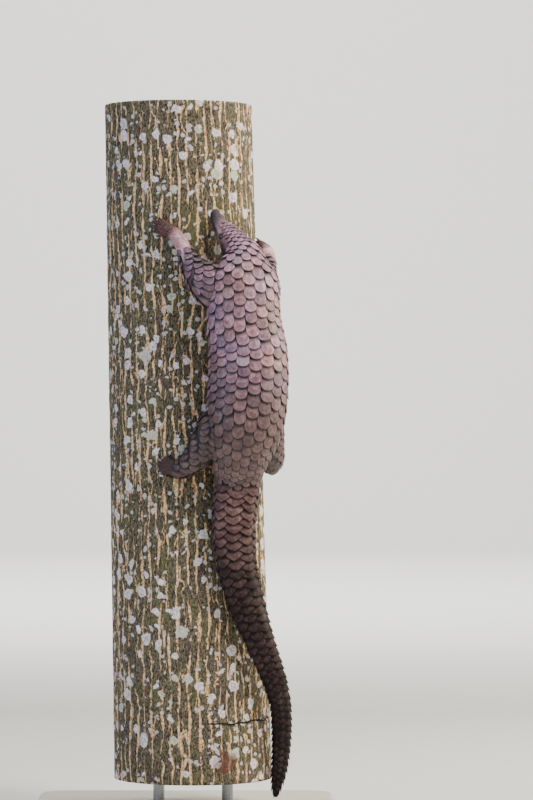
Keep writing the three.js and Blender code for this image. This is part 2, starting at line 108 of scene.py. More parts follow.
# A smooth curve through points, with a place on it counted in points
def curve_at(points, along):
    last = len(points) - 1
    along = np.clip(np.asarray(along, float), 0, last)
    first = np.minimum(along.astype(int), last - 1)
    t = (along - first)[..., None]
    padded = np.vstack([2 * points[0] - points[1], points, 2 * points[-1] - points[-2]])
    p0, p1, p2, p3 = (padded[first + step] for step in range(4))
    d0, d1, d2 = (np.sqrt(np.linalg.norm(b - a, axis=-1, keepdims=True)) + 1e-9
                  for a, b in ((p0, p1), (p1, p2), (p2, p3)))
    leave = ((p1 - p0) / d0 - (p2 - p0) / (d0 + d1) + (p2 - p1) / d1) * d1
    arrive = ((p2 - p1) / d1 - (p3 - p1) / (d1 + d2) + (p3 - p2) / d2) * d1
    square = -3 * p1 + 3 * p2 - 2 * leave - arrive
    cube = 2 * p1 - 2 * p2 + leave + arrive
    return p1 + leave * t + square * t ** 2 + cube * t ** 3


def unit(vectors):
    return vectors / (np.linalg.norm(vectors, axis=-1, keepdims=True) + 1e-12)


def dot(a, b):
    return (a * b).sum(-1)


# Flesh along a line: the skin is found from a place along it and an angle from the middle of the back
class Flesh:
    SQUARENESS = 0.94
    BLOCK = 20000  # points that are looked for at a time

    def __init__(self, stations, inset=None):
        table = np.array([row if len(row) == 6 else (*row, row[0]) for row in stations], float)
        self.last = len(table) - 1
        self.centres = on_trunk(table[:, 0], table[:, 2], table[:, 1])
        self.sizes = np.stack([table[:, 3] / 2, table[:, 4] / 2, table[:, 5]], -1)
        self.inset = inset or (lambda along: 0.0)
        self.samples = np.linspace(0, self.last, 40 * self.last + 1)
        steps = np.linalg.norm(np.diff(self.centre(self.samples), axis=0), axis=-1)
        self.travel = np.concatenate([[0], np.cumsum(steps)])

    def centre(self, along):
        return curve_at(self.centres, along)

    def size(self, along):
        return curve_at(self.sizes, along)

    # Millimetres from the start of the line, and back to a place
    def distance(self, along):
        return np.interp(along, self.samples, self.travel)

    def place(self, distance):
        return np.interp(distance, self.travel, self.samples)

    def frame(self, along):
        along = np.asarray(along, float)
        tangent = unit(self.centre(along + 0.02) - self.centre(along - 0.02))
        facing = np.radians(self.size(along)[..., 2])
        back = np.stack([np.sin(facing), -np.cos(facing), 0 * facing], -1)
        back = unit(back - tangent * dot(back, tangent)[..., None])
        return tangent, back, np.cross(back, tangent)

    def girth(self, along):
        size = self.size(along)
        return math.pi * (size[..., 0] + size[..., 1])

    def skin(self, along, angle, share=1.0, grow=0.0):
        along, angle = np.broadcast_arrays(np.asarray(along, float), np.asarray(angle, float))
        _, back, side = self.frame(along)
        size = self.size(along)
        inset = self.inset(along) - grow
        sine, cosine = np.sin(np.radians(angle)), np.cos(np.radians(angle))
        x = (size[..., 0] - inset) * np.sign(sine) * np.abs(sine) ** self.SQUARENESS * share
        z = (size[..., 1] - inset) * np.sign(cosine) * np.abs(cosine) ** self.SQUARENESS * share
        return self.centre(along) + side * x[..., None] + back * z[..., None]

    def onward(self, along, angle):
        return self.skin(along + 0.06, angle) - self.skin(along - 0.06, angle)

    def out(self, along, angle):
        across = self.skin(along, angle + 3) - self.skin(along, angle - 3)
        return unit(np.cross(self.onward(along, angle), across))

    # The nearest place and angle to points in space, and how far out they lie (1 is on the skin)
    def locate(self, points):
        along = self.samples[::4]
        centres = self.centre(along)
        found = np.empty(len(points), int)
        for start in range(0, len(points), self.BLOCK):
            block = points[start:start + self.BLOCK]
            gaps = ((block[:, None, :] - centres[None, :, :]) ** 2).sum(-1)
            found[start:start + self.BLOCK] = gaps.argmin(1)
        near = along[found]
        tangent, back, side = self.frame(near)
        arm = points - self.centre(near)
        near = np.clip(near + dot(arm, tangent) * (self.place(self.distance(near) + 1) - near), 0, self.last)
        size = self.size(near)
        x, z = dot(arm, side) / size[..., 0], dot(arm, back) / size[..., 1]
        return near, np.degrees(np.arctan2(x, z)), np.hypot(x, z)


def smooth_step(value, low, high):
    share = np.clip((np.asarray(value, float) - low) / (high - low), 0, 1)
    return share * share * (3 - 2 * share)


RISE = 3.3  # the body's skin lies this far under the tips of its largest scales
LIMB_RISE = 1.4


def body_inset(along):
    return RISE * smooth_step(along, 2.2, 5.4) * (1 - 0.3 * smooth_step(along, 17, 23))


def limb_inset(along):
    return LIMB_RISE * (1 - smooth_step(along, 3.0, 4.6))


body = Flesh(BODY, body_inset)
limbs = {name: Flesh(rows, limb_inset) for name, rows in LIMBS.items()}


# Helpers for meshes
MERGE = 0.00001  # corners nearer than this are made one, in metres


def activate(piece):
    bpy.ops.object.select_all(action="DESELECT")
    piece.select_set(True)
    bpy.context.view_layer.objects.active = piece


def mode(name):
    bpy.ops.object.mode_set(mode=name)


def corners(piece):
    flat = np.empty(len(piece.data.vertices) * 3)
    piece.data.vertices.foreach_get("co", flat)
    return flat.reshape(-1, 3)


def move_corners(piece, points):
    piece.data.vertices.foreach_set("co", np.asarray(points, float).ravel())
    piece.data.update()


def edit(piece, *steps):
    activate(piece)
    mode("EDIT")
    bpy.ops.mesh.select_all(action="SELECT")
    for step in steps:
        step()
    mode("OBJECT")


# Goes into edit mode with the chosen corners selected, and the edges between them
def edit_chosen(piece, chosen):
    activate(piece)
    mode("EDIT")
    bpy.ops.mesh.select_mode(type="VERT")
    bpy.ops.mesh.select_all(action="DESELECT")
    mode("OBJECT")
    for vertex, wanted in zip(piece.data.vertices, chosen):
        vertex.select = bool(wanted)
    for edge in piece.data.edges:
        edge.select = all(chosen[corner] for corner in edge.vertices)
    mode("EDIT")


def turn_out():
    bpy.ops.mesh.select_all(action="SELECT")
    bpy.ops.mesh.normals_make_consistent(inside=False)


def merge_and_turn_out(piece):
    edit(piece, lambda: bpy.ops.mesh.remove_doubles(threshold=MERGE), turn_out)


def apply_modifier(piece, kind, **settings):
    activate(piece)
    modifier = piece.modifiers.new(kind.title(), kind)
    for name, value in settings.items():
        setattr(modifier, name, value)
    bpy.ops.object.modifier_apply(modifier=modifier.name)


def join(pieces, name):
    activate(pieces[0])
    for piece in pieces[1:]:
        piece.select_set(True)
    bpy.ops.object.join()
    pieces[0].name = name
    pieces[0].data.name = name
    return pieces[0]


def smooth_shade(piece, degrees=None):
    activate(piece)
    if degrees:
        bpy.ops.object.shade_smooth_by_angle(angle=math.radians(degrees))
    else:
        bpy.ops.object.shade_smooth()


def dress(piece, material, slot, *replaced):
    piece.data.materials.clear()
    piece.data.materials.append(material)
    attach(piece, "root")
    if replaced:
        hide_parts(*replaced)
    return piece


# A closed tube of flesh from rows of (place along the line, share of the full section)
def sleeve(name, flesh, rows, sides, grow=0.0):
    places, shares = np.array(rows).T
    bpy.ops.mesh.primitive_grid_add(x_subdivisions=sides, y_subdivisions=len(rows) - 1, size=2)
    tube = bpy.context.object
    tube.name = name
    flat = corners(tube)
    row = np.rint((flat[:, 1] + 1) / 2 * (len(rows) - 1)).astype(int)
    move_corners(tube, MM * flesh.skin(places[row], 180 * flat[:, 0], shares[row], grow))
    merge_and_turn_out(tube)
    return tube


# Rows of the full section, a step apart in millimetres
def full_rows(flesh, start, end, step):
    first, last = flesh.distance([start, end])
    count = max(2, int(round((last - first) / step)) + 1)
    return [(place, 1.0) for place in flesh.place(np.linspace(first, last, count))]


# A tree of nodes, with a short word for each kind of node that is used often.
# A colour may be given by its code.
class Net:
    def __init__(self, tree):
        self.tree = tree

    def feed(self, made, inputs):
        for socket, value in inputs.items():
            if isinstance(value, bpy.types.NodeSocket):
                self.tree.links.new(value, made.inputs[socket])
            else:
                made.inputs[socket].default_value = colour(value) if isinstance(value, str) else value

    def add(self, kind, inputs=None, **settings):
        made = self.tree.nodes.new(kind)
        for name, value in settings.items():
            setattr(made, name, value)
        self.feed(made, inputs or {})
        return made

    def math(self, operation, *values):
        return self.add("ShaderNodeMath", dict(enumerate(values)), operation=operation).outputs[0]

    def times(self, first, second):
        return self.math("MULTIPLY", first, second)

    def times_plus(self, first, second, third):
        return self.math("MULTIPLY_ADD", first, second, third)

    def minus(self, first, second):
        return self.math("SUBTRACT", first, second)

    def vector(self, operation, *values, output=0):
        made = self.add("ShaderNodeVectorMath", dict(enumerate(values)), operation=operation)
        return made.outputs[output]

    def stretched(self, vector, scale):
        return self.vector("MULTIPLY", vector, scale)

    def scaled(self, vector, factor):
        return self.add("ShaderNodeVectorMath", {0: vector, "Scale": factor}, operation="SCALE").outputs[0]

    def joined(self, x, y, z):
        return self.add("ShaderNodeCombineXYZ", {0: x, 1: y, 2: z}).outputs[0]

    def split(self, vector):
        return self.add("ShaderNodeSeparateXYZ", {0: vector}).outputs

    def attributes(self, *labels):
        return (self.add("ShaderNodeAttribute", attribute_name=label).outputs["Fac"] for label in labels)

    def noise(self, vector, scale, detail=3.0, rough=0.55, output=0):
        inputs = {"Vector": vector, "Scale": scale, "Detail": detail, "Roughness": rough}
        return self.add("ShaderNodeTexNoise", inputs).outputs[output]

    def cells(self, vector, scale, output="Distance", **settings):
        made = self.add("ShaderNodeTexVoronoi", {"Vector": vector, "Scale": scale}, **settings)
        return made.outputs[output]

    def fade(self, value, low, high, to_low=0.0, to_high=1.0):
        inputs = {0: value, 1: low, 2: high, 3: to_low, 4: to_high}
        return self.add("ShaderNodeMapRange", inputs, interpolation_type="SMOOTHSTEP").outputs[0]

    def mix(self, share, first, second):
        return self.add("ShaderNodeMix", {0: share, 6: first, 7: second}, data_type="RGBA").outputs[2]

    # Colours laid over each other. A row is (mask, amount, colour), or (value, low, high, amount,
    # colour) where the mask grows from none at the first value to the whole amount at the second.
    def layers(self, base, *rows):
        for mask, *span, amount, over in rows:
            share = self.fade(mask, *span, 0.0, amount) if span else self.times(mask, amount)
            base = self.mix(share, base, over)
        return base


# A material's own net, with its shader and the position on the object
class Paint(Net):
    def __init__(self, name):
        self.material = bpy.data.materials.new(name)
        self.material.use_nodes = True
        super().__init__(self.material.node_tree)
        self.tree.nodes.clear()
        self.shader = self.add("ShaderNodeBsdfPrincipled")
        self.add("ShaderNodeOutputMaterial", {0: self.shader.outputs[0]})
        self.position = self.add("ShaderNodeTexCoord").outputs["Object"]

    def coat(self, base, roughness, **others):
        names = {label.replace("_", " "): value for label, value in others.items()}
        self.feed(self.shader, {"Base Color": base, "Roughness": roughness, **names})

    def bump(self, height, distance, strength):
        inputs = {"Height": height, "Distance": distance, "Strength": strength}
        self.feed(self.shader, {"Normal": self.add("ShaderNodeBump", inputs).outputs[0]})


def colour(code):
    parts = [int(code[i:i + 2], 16) / 255 for i in (0, 2, 4)]
    return (*[p / 12.92 if p <= 0.04045 else ((p + 0.055) / 1.055) ** 2.4 for p in parts], 1.0)


# The colour from back to tail, shared by the scales and the skin, and how far down the tail it is
def make_body_tone():
    group = bpy.data.node_groups.new("body_tone", "ShaderNodeTree")
    for label, way, kind in (("Position", "INPUT", "Vector"), ("Color", "OUTPUT", "Color"),
                             ("Tail", "OUTPUT", "Float")):
        group.interface.new_socket(label, in_out=way, socket_type=f"NodeSocket{kind}")
    net = Net(group)
    position = net.add("NodeGroupInput").outputs[0]
    blotch = net.noise(position, 26.0, 3.0)
    drift = net.times_plus(blotch, 0.06, net.minus(net.split(position)[2], 0.03))
    tone = net.layers(
        "7f6274",
        (blotch, 0.35, 0.68, 1.0, "886265"),
        (drift, 0.68, 0.54, 1.0, "503b3a"),
        (drift, 0.43, 0.33, 1.0, "1f1412"),
        (drift, 0.28, 0.17, 1.0, "0a0505"),
    )
    net.add("NodeGroupOutput", {"Color": tone, "Tail": net.fade(drift, 0.50, 0.32)})
    return group


body_tone = make_body_tone()


# Horny scale: its own map runs across (u) and from root to free edge (v). Each scale has its own
# tone. The rim is 1 on the under side, which is painted in shade; the brink grows to 1 at the sides
# and the free edge, along which a painted shadow line runs; and a root gets painted shade where the
# scale above shelters it. Towards the free edge it is lighter from wear and a painted highlight.
def scale_material(name, lighten, gloss, specular):
    net = Paint(name)
    across, length, _ = net.split(net.add("ShaderNodeUVMap", uv_map="Plate").outputs[0])
    tone, rim, brink, sheltered = net.attributes("tone", "rim", "brink", "sheltered")
    base, tail = net.add("ShaderNodeGroup", {"Position": net.position}, node_tree=body_tone).outputs
    seeded = net.joined(across, length, tone)
    streak = net.noise(net.stretched(seeded, (11.0, 1.3, 57.0)), 1.6, 4.0, 0.6)
    rings = net.noise(net.stretched(seeded, (1.5, 9.0, 31.0)), 1.2, 3.0, 0.5)
    mottle = net.noise(net.position, 210.0, 3.0)
    patches = net.noise(net.position, 90.0, 4.0, 0.65)
    toned = net.scaled(base, net.times(net.fade(tone, -0.6, 1.0, 0.36, 1.27),
                                       net.fade(patches, 0.36, 0.64, 0.80, 1.20)))
    brighter = net.scaled(toned, 1.9)
    browner = net.stretched(toned, (0.66, 0.56, 0.50))
    # lighter towards the tip: partly wear, partly a painted highlight
    wear_and_highlight = net.times(net.fade(length, 0.48, 0.66), net.fade(mottle, 0.38, 0.62))
    middle = net.joined(net.times_plus(across, 2.9, -1.45), net.times_plus(length, 6.2, -5.1), 0.0)
    off_middle = net.times_plus(mottle, 1.6, net.vector("LENGTH", middle, output="Value"))
    share = net.math("FRACT", net.times(tone, 7.3))
    grains = net.noise(net.position, 900.0, 2.0)
    drifts = net.noise(net.position, 42.0, 4.0)
    dust = net.times(net.fade(drifts, 0.46, 0.72), net.fade(grains, 0.3, 0.7))
    # The brink, set further in on the tail, carries a dark line painted as the shadow under the free edge
    edge = net.times_plus(tail, 0.035, brink)
    shown = net.times_plus(tail, -0.06, length)
    horn = net.layers(
        toned,
        # tips lightened by wear and by a painted highlight
        (wear_and_highlight, lighten, brighter),
        # reddish-brown blotches on the tail: partly its colour, partly a painted highlight
        (net.fade(mottle, 0.46, 0.60), net.fade(tail, 0.3, 1.0, 0.0, 0.2), "5c423d"),
        (net.fade(tone, 0.96, 0.99), net.fade(tail, 1.0, 0.0, 0.0, 0.45), "b7a5b4"),
        (net.fade(off_middle, 1.9, 1.3), net.fade(share, 0.2, 0.8, 0.1, 0.6), browner),
        (streak, 0.62, 0.42, 0.30, "3f3035"),
        (dust, net.fade(tail, 0.0, 1.0, 0.35, 0.16), "9a8478"),
        (net.fade(brink, 0.78, 0.90), net.fade(tail, 0.0, 0.5, 0.16, 0.0), brighter),
        # painted shadow: a dark line along the sides and the free edge
        (edge, 0.94, 0.97, 0.92, "0d0809"),
        # painted shade on the root, where the scale above covers it
        (net.fade(shown, 0.63, 0.42), sheltered, "150f11"),
        # painted shade on the under side and the sides of the scale
        (rim, 0.05, 0.5, 1.0, "120c0d"),
    )
    roughness = net.fade(streak, 0.3, 0.7, gloss + 0.14, gloss - 0.06)
    net.coat(horn, roughness, Specular_IOR_Level=specular)
    fine = net.noise(net.position, 1400.0, 2.0)
    height = net.times_plus(streak, 0.7, net.times(rings, 0.7))
    net.bump(net.times_plus(fine, 0.22, height), 0.0006, 0.6)
    return net.material


# Bare skin, dark on the nose and the paws, and with painted shade where it shows between and under the
# scales
def skin_material():
    net = Paint("bare_skin")
    marks = net.add("ShaderNodeAttribute", attribute_name="marks").outputs["Color"]
    bare, nose, paw = net.add("ShaderNodeSeparateColor", {0: marks}).outputs
    dark, lids = net.attributes("dark", "lids")
    tone, _ = net.add("ShaderNodeGroup", {"Position": net.position}, node_tree=body_tone).outputs
    level = net.split(net.position)[2]
    wrinkled = net.stretched(net.position, (1.0, 1.0, 2.4))
    flush = net.noise(net.position, 95.0, 4.0)
    grains = net.cells(net.position, 430.0)
    pores = net.cells(wrinkled, 900.0, feature="DISTANCE_TO_EDGE")
    folds = net.noise(wrinkled, 160.0, 4.0)
    pads = net.layers("1c0c0c", (grains, 0.62, 0.12, 1.0, "89483f"), (level, 0.70, 0.55, 0.6, "150d0f"))
    skin = net.layers(
        # painted shade: the skin between and under the scales is darkened
        net.mix(0.72, tone, "2a2021"),
        (bare, 1.0, net.layers("aa7d82", (flush, 0.35, 0.68, 1.0, "efc4c6"))),
        (nose, 1.0, net.layers("1d1219", (flush, 0.4, 0.6, 1.0, "392832"))),
        (paw, 1.0, pads),
        (pores, 0.16, 0.0, 0.30, "33242a"),
        (folds, 0.45, 0.30, 0.45, "5a3b40"),
        (lids, 0.5, "b2777a"),
        (dark, 1.0, "120c10"),
    )
    net.coat(skin, net.fade(folds, 0.3, 0.7, 0.62, 0.45),
             Subsurface_Weight=0.06, Subsurface_Radius=(0.004, 0.0015, 0.001))
    height = net.times_plus(net.fade(pores, 0.0, 0.2), 0.5, folds)
    lumps = net.times(net.fade(grains, 0.6, 0.1), paw)
    net.bump(net.times_plus(lumps, 0.9, height), 0.0006, 0.6)
    return net.material


def claw_material(name, dark, light):
    net = Paint(name)
    streak = net.noise(net.position, 520.0, 4.0)
    broad = net.noise(net.position, 130.0, 2.0)
    horn = net.layers(dark, (broad, 0.35, 0.66, 1.0, light), (streak, 0.58, 0.75, 0.5, "8a7a7c"))
    net.coat(horn, net.fade(streak, 0.3, 0.7, 0.28, 0.5))
    net.bump(streak, 0.0003, 0.6)
    return net.material


def eye_material():
    net = Paint("eye")
    cloud = net.noise(net.position, 300.0, 3.0)
    dark = net.layers("06060a", (cloud, 0.4, 0.65, 1.0, "17161f"))
    net.coat(dark, 0.06, Coat_Weight=1.0, Coat_Roughness=0.02)
    return net.material


# Bark: the same pattern lifts the mesh and colours it, so it is built in either kind of tree
STRIPS = {"count": 50.0, "shift": 0.0, "widest": 0.15, "sway": 1.7}
CROSS_STRIPS = {"count": 31.0, "shift": 0.31, "widest": 0.06, "sway": 2.6}
LICHEN = {"size": 21.0, "reach": 0.43, "share": 1.5}
CRUMBS = {"size": 9.0, "reach": 0.44, "share": 0.9}
SCAR = {"level": 0.143, "wave": 0.012, "turn": 0.135, "patch": (0.060, -0.098, 0.090), "reach": 0.019}


def bark_pattern(net, position):
    x, y, level = net.split(position)
    leaned = net.math("ADD", x, net.times_plus(level, TRUNK["lean"], -TRUNK["shift"] * MM))
    around = net.math("ARCTAN2", leaned, net.times(y, -1.0))
    turns = net.math("DIVIDE", around, 2 * math.pi)
    speck = net.noise(position, 330.0, 3.0, 0.65)

    def strips(count, shift, widest, sway):
        moved = net.vector("ADD", position, (shift, shift, 3 * shift))
        wander = net.noise(net.stretched(moved, (1.0, 1.0, 0.5)), 30.0, 3.0, 0.6)
        lane = net.times_plus(wander, sway, net.times(turns, count))
        off = net.math("PINGPONG", net.times_plus(speck, 0.22, lane), 0.5)
        breaks = net.noise(net.stretched(moved, (1.0, 1.0, 0.33)), 85.0, 3.0, 0.6)
        return net.fade(net.minus(off, net.fade(breaks, 0.30, 0.62, -0.07, widest)), 0.025, -0.02)

    sway = net.vector("SUBTRACT", net.noise(position, 70.0, 3.0, 0.5, "Color"), (0.5, 0.5, 0.5))
    ragged = net.vector("MULTIPLY_ADD", sway, (0.014, 0.014, 0.014), position)
    crowd = net.noise(position, 9.0, 2.0)

    def spots(size, reach, share):
        made = net.add("ShaderNodeTexVoronoi", {"Vector": ragged, "Scale": 1000 / size, "Randomness": 0.85})
        draw = net.split(made.outputs["Color"])
        present = net.math("LESS_THAN", draw[0], net.times(crowd, share))
        radius = net.times_plus(draw[1], 0.5 * reach, 0.5 * reach)
        inner = net.math("DIVIDE", made.outputs["Distance"], radius)
        inner = net.times_plus(speck, 0.7, net.minus(inner, 0.35))
        return net.times(net.fade(inner, 1.0, 0.86), present), inner, draw[2]

    strip = net.math("MAXIMUM", strips(**STRIPS), strips(**CROSS_STRIPS))
    big, inner, draw = spots(**LICHEN)
    small, _, _ = spots(**CRUMBS)
    wave = net.times_plus(net.noise(position, 40.0, 3.0), SCAR["wave"], SCAR["level"] - 0.5 * SCAR["wave"])
    off_ring = net.math("ABSOLUTE", net.minus(level, wave))
    off_turn = net.math("ABSOLUTE", net.minus(turns, SCAR["turn"]))
    scar = net.times(net.fade(off_ring, 0.0024, 0.0007), net.fade(off_turn, 0.125, 0.085))
    away = net.vector("DISTANCE", ragged, SCAR["patch"], output="Value")
    patch = net.fade(away, SCAR["reach"], 0.6 * SCAR["reach"])
    return {"strip": strip, "big": big, "inner": inner, "draw": draw, "small": small, "scar": scar,
            "patch": patch, "speck": speck}


def bark_material():
    net = Paint("bark")
    found = bark_pattern(net, net.position)
    speck, inner = found["speck"], found["inner"]
    fibre = net.noise(net.stretched(net.position, (1.0, 1.0, 0.4)), 560.0, 5.0, 0.7)
    cloud = net.noise(net.stretched(net.position, (1.0, 1.0, 0.5)), 34.0, 4.0, 0.6)
    crumbs = net.noise(net.position, 620.0, 3.0, 0.7)
    bands = net.math("SINE", net.times(inner, 8.0))
    cream = net.layers("b07a4c", (speck, 0.38, 0.60, 1.0, "f6d3a2"), (fibre, 0.60, 0.70, 0.5, "f7e2bd"))
    lichen = net.layers(
        "d8c8cd",
        (bands, 0.1, 0.9, 0.5, "93868b"),
        (speck, 0.48, 0.60, 0.95, "fff6f5"),
        (crumbs, 0.46, 0.36, 0.75, "5c5250"),
        (inner, 0.62, 0.80, 0.6, "f6ecec"),
        (found["draw"], 0.80, 0.86, 0.5, "9fb07e"),
    )
    bark = net.layers(
        "120f09",
        (fibre, 0.39, 0.62, 1.0, "766b50"),
        (cloud, 0.52, 0.70, 0.6, "59582c"),
        (cloud, 0.46, 0.28, 0.55, "4b3a3c"),
        (speck, 0.60, 0.74, 0.75, "a39684"),
        (speck, 0.42, 0.30, 0.8, "15110d"),
        (found["strip"], 1.0, cream),
        (found["small"], 0.8, "cfc6c8"),
        (found["big"], 0.94, lichen),
        (found["patch"], 0.75, "5b2c1d"),
        (found["scar"], 1.0, "120d0a"),
    )
    net.coat(bark, net.fade(fibre, 0.3, 0.7, 0.95, 0.75))
    height = net.times_plus(speck, 0.6, fibre)
    height = net.times_plus(found["strip"], -0.5, height)
    net.bump(net.times_plus(found["scar"], -1.5, height), 0.0018, 0.9)
    return net.material


def sawn_material():
    net = Paint("sawn_wood")
    flat = net.stretched(net.position, (1.0, 1.0, 0.0))
    reach = net.vector("LENGTH", flat, output="Value")
    rings = net.math("SINE", net.times_plus(net.noise(flat, 14.0, 3.0), 9.0, net.times(reach, 1500.0)))
    saw = net.noise(net.stretched(net.position, (1.0, 6.0, 1.0)), 240.0, 3.0)
    wood = net.layers("c9a877", (rings, -0.6, 0.9, 1.0, "a07d50"), (saw, 0.5, 0.75, 0.4, "86683f"))
    net.coat(wood, 0.85)
    net.bump(net.times_plus(saw, 0.7, rings), 0.0004, 0.5)
    return net.material


def stand_materials():
    paint = Paint("stand_paint")
    mottle = paint.noise(paint.position, 60.0, 3.0)
    tooth = paint.noise(paint.position, 1600.0, 2.0)
    paint.coat(paint.layers("b4ada1", (mottle, 0.3, 0.7, 1.0, "bdb6aa")),
               paint.fade(tooth, 0.3, 0.7, 0.42, 0.58))
    paint.bump(tooth, 0.00012, 0.5)
    steel = Paint("rod_steel")
    brushed = steel.noise(steel.stretched(steel.position, (1.0, 1.0, 12.0)), 300.0, 3.0)
    steel.coat(steel.layers("8b8e91", (brushed, 0.3, 0.7, 1.0, "a9acae")),
               steel.fade(brushed, 0.3, 0.7, 0.24, 0.4), Metallic=1.0)
    return paint.material, steel.material


# The camera, level and straight at the trunk as the photograph has it
VIEW = {"x": 115.5, "level": 588.0, "distance": 5000.0, "frame_height": 1120.0, "sensor": 36.0}


def add_camera():
    bpy.ops.object.camera_add(location=(VIEW["x"] * MM, -VIEW["distance"] * MM, VIEW["level"] * MM),
                              rotation=(math.pi / 2, 0, 0))
    camera = bpy.context.object
    camera.data.sensor_width = VIEW["sensor"]
    camera.data.lens = VIEW["sensor"] * VIEW["distance"] / VIEW["frame_height"]
    camera.data.clip_end = 40
    bpy.context.scene.camera = camera


# Lamps: name, place and target in metres, size, power, tint
MIDDLE = (0.08, -0.1, 0.6)
LAMPS = (
    ("sky_key", (2.0, -1.9, 3.5), MIDDLE, 1.3, 190, (1.0, 0.95, 0.89)),
    ("sky_fill", (-2.8, -2.4, 1.9), MIDDLE, 2.6, 76, (0.54, 0.71, 1.0)),
    ("sky_right", (2.7, 0.7, 1.7), MIDDLE, 1.5, 118, (1.0, 0.90, 0.68)),
    ("sky_top", (0.2, 0.5, 3.6), MIDDLE, 2.2, 60, (0.97, 0.98, 1.0)),
    ("wall_wash", (0.0, 4.0, 5.5), (0.0, 12.0, 2.2), 5.0, 1500, (0.98, 0.98, 1.0)),
)
AMBIENT = {"tint": (0.80, 0.83, 0.88, 1), "strength": 0.34}
FLOOR = {"wide": 14.0, "front": -14.0, "back": 9.0, "wall": 7.0, "bend": 3.0, "steps": 12}


def add_lamp(name, place, target, size, power, tint):
    bpy.ops.object.light_add(type="AREA", location=place)
    lamp = bpy.context.object
    lamp.name = name
    lamp.rotation_euler = (Vector(target) - Vector(place)).to_track_quat("-Z", "Y").to_euler()
    lamp.data.shape = "DISK"
    lamp.data.size = size
    lamp.data.energy = power
    lamp.data.color = tint


# A floor that bends up into a wall behind
def add_studio():
    bpy.ops.mesh.primitive_plane_add(size=1, location=(0, 0, 0))
    floor = bpy.context.object
    floor.name = "studio_floor"
    wide, front, back = FLOOR["wide"], FLOOR["front"], FLOOR["back"]
    move_corners(floor, [(-wide, front, 0), (wide, front, 0), (-wide, back, 0), (wide, back, 0)])
    edit_chosen(floor, corners(floor)[:, 1] > 0)
    turns = np.linspace(0, math.pi / 2, FLOOR["steps"] + 1)
    advances = FLOOR["bend"] * np.diff(np.sin(turns))
    rises = -FLOOR["bend"] * np.diff(np.cos(turns))
    for advance, rise in [*zip(advances, rises), (0, FLOOR["wall"])]:
        bpy.ops.mesh.extrude_edges_move(TRANSFORM_OT_translate={"value": (0, advance, rise)})
    mode("OBJECT")
    smooth_shade(floor)
    paper = Paint("studio_paper")
    paper.coat(paper.layers("dcdad5", (paper.noise(paper.position, 30.0, 2.0), 1.0, "d6d4cf")), 0.9)
    floor.data.materials.append(paper.material)
    for lamp in LAMPS:
        add_lamp(*lamp)
    world = bpy.data.worlds.new("studio")
    bpy.context.scene.world = world
    world.use_nodes = True
    background = world.node_tree.nodes["Background"]
    background.inputs[0].default_value = AMBIENT["tint"]
    background.inputs[1].default_value = AMBIENT["strength"]


SNOUT_END = 3.0  # length over which the tip of the snout is rounded
ROUND_END = ((0.0, 0.0), (0.25, 0.45), (0.5, 0.7), (0.75, 0.9))  # share of that length, of the section
HEAD_LEVEL = 770  # the face lies above it
SIDES = (-1, 1)


def distance_to(points, centre):
    return np.linalg.norm(points - centre, axis=-1)


# Parts of the face on either side
def eye_centre(side):
    at, angle = EYE["at"], side * EYE["side"]
    out = body.out(at, angle)
    return body.skin(at, angle) + out * (EYE["proud"] - EYE["radius"]), out


def eye_front(side):
    centre, out = eye_centre(side)
    return centre + out * (EYE["radius"] - EYE["proud"])


def nostril_centre(side):
    share = np.interp(NOSTRIL["at"] / body.place(SNOUT_END), *np.array(ROUND_END).T)
    return body.skin(NOSTRIL["at"], side * NOSTRIL["side"], share)


def ear_centre(side):
    return body.skin(EAR["at"], side * EAR["side"])


# How far behind the line of the mouth, in millimetres, and whether between its corners
def mouth_offset(along, angle):
    turn = (((angle + 360) % 360) - 180) / MOUTH["side"]
    line = MOUTH["front"] + (MOUTH["corner"] - MOUTH["front"]) * turn ** 2
    return body.distance(along) - body.distance(line), smooth_step(np.abs(turn), 1.12, 0.92)


# The face is worked into the skin by round bumps, rings and dents, and by shallow wrinkles
def face_relief(points, along, angle):
    lift = np.zeros(len(points))
    for side in SIDES:
        eye, ear, nostril = eye_front(side), ear_centre(side), nostril_centre(side)
        for centre, reach, height, ring in (
                (eye, 1.05, 1.35, EYE["lid"]), (eye, 0.8, 0.45, EYE["lid"] + 2.4), (eye, 2.9, -1.2, 0.0),
                (ear, 1.3, 1.6, 3.6), (ear, 1.6, -2.6, 0.0),
                (nostril, 0.8, 0.7, 2.1), (nostril, 1.1, -2.3, 0.0)):
            lift += height * np.exp(-((distance_to(points, centre) - ring) / reach) ** 2)
    off, within = mouth_offset(along, angle)
    lift += within * (0.9 * np.exp(-(off / 1.9) ** 2) - 1.7 * np.exp(-(off / 0.6) ** 2))
    face = smooth_step(along, 5.2, 3.2) * smooth_step(along, 0.3, 1.2)
    return lift + face * 0.16 * np.sin(body.distance(along) * 1.5 + 1.7 * np.sin(np.radians(angle * 3)))


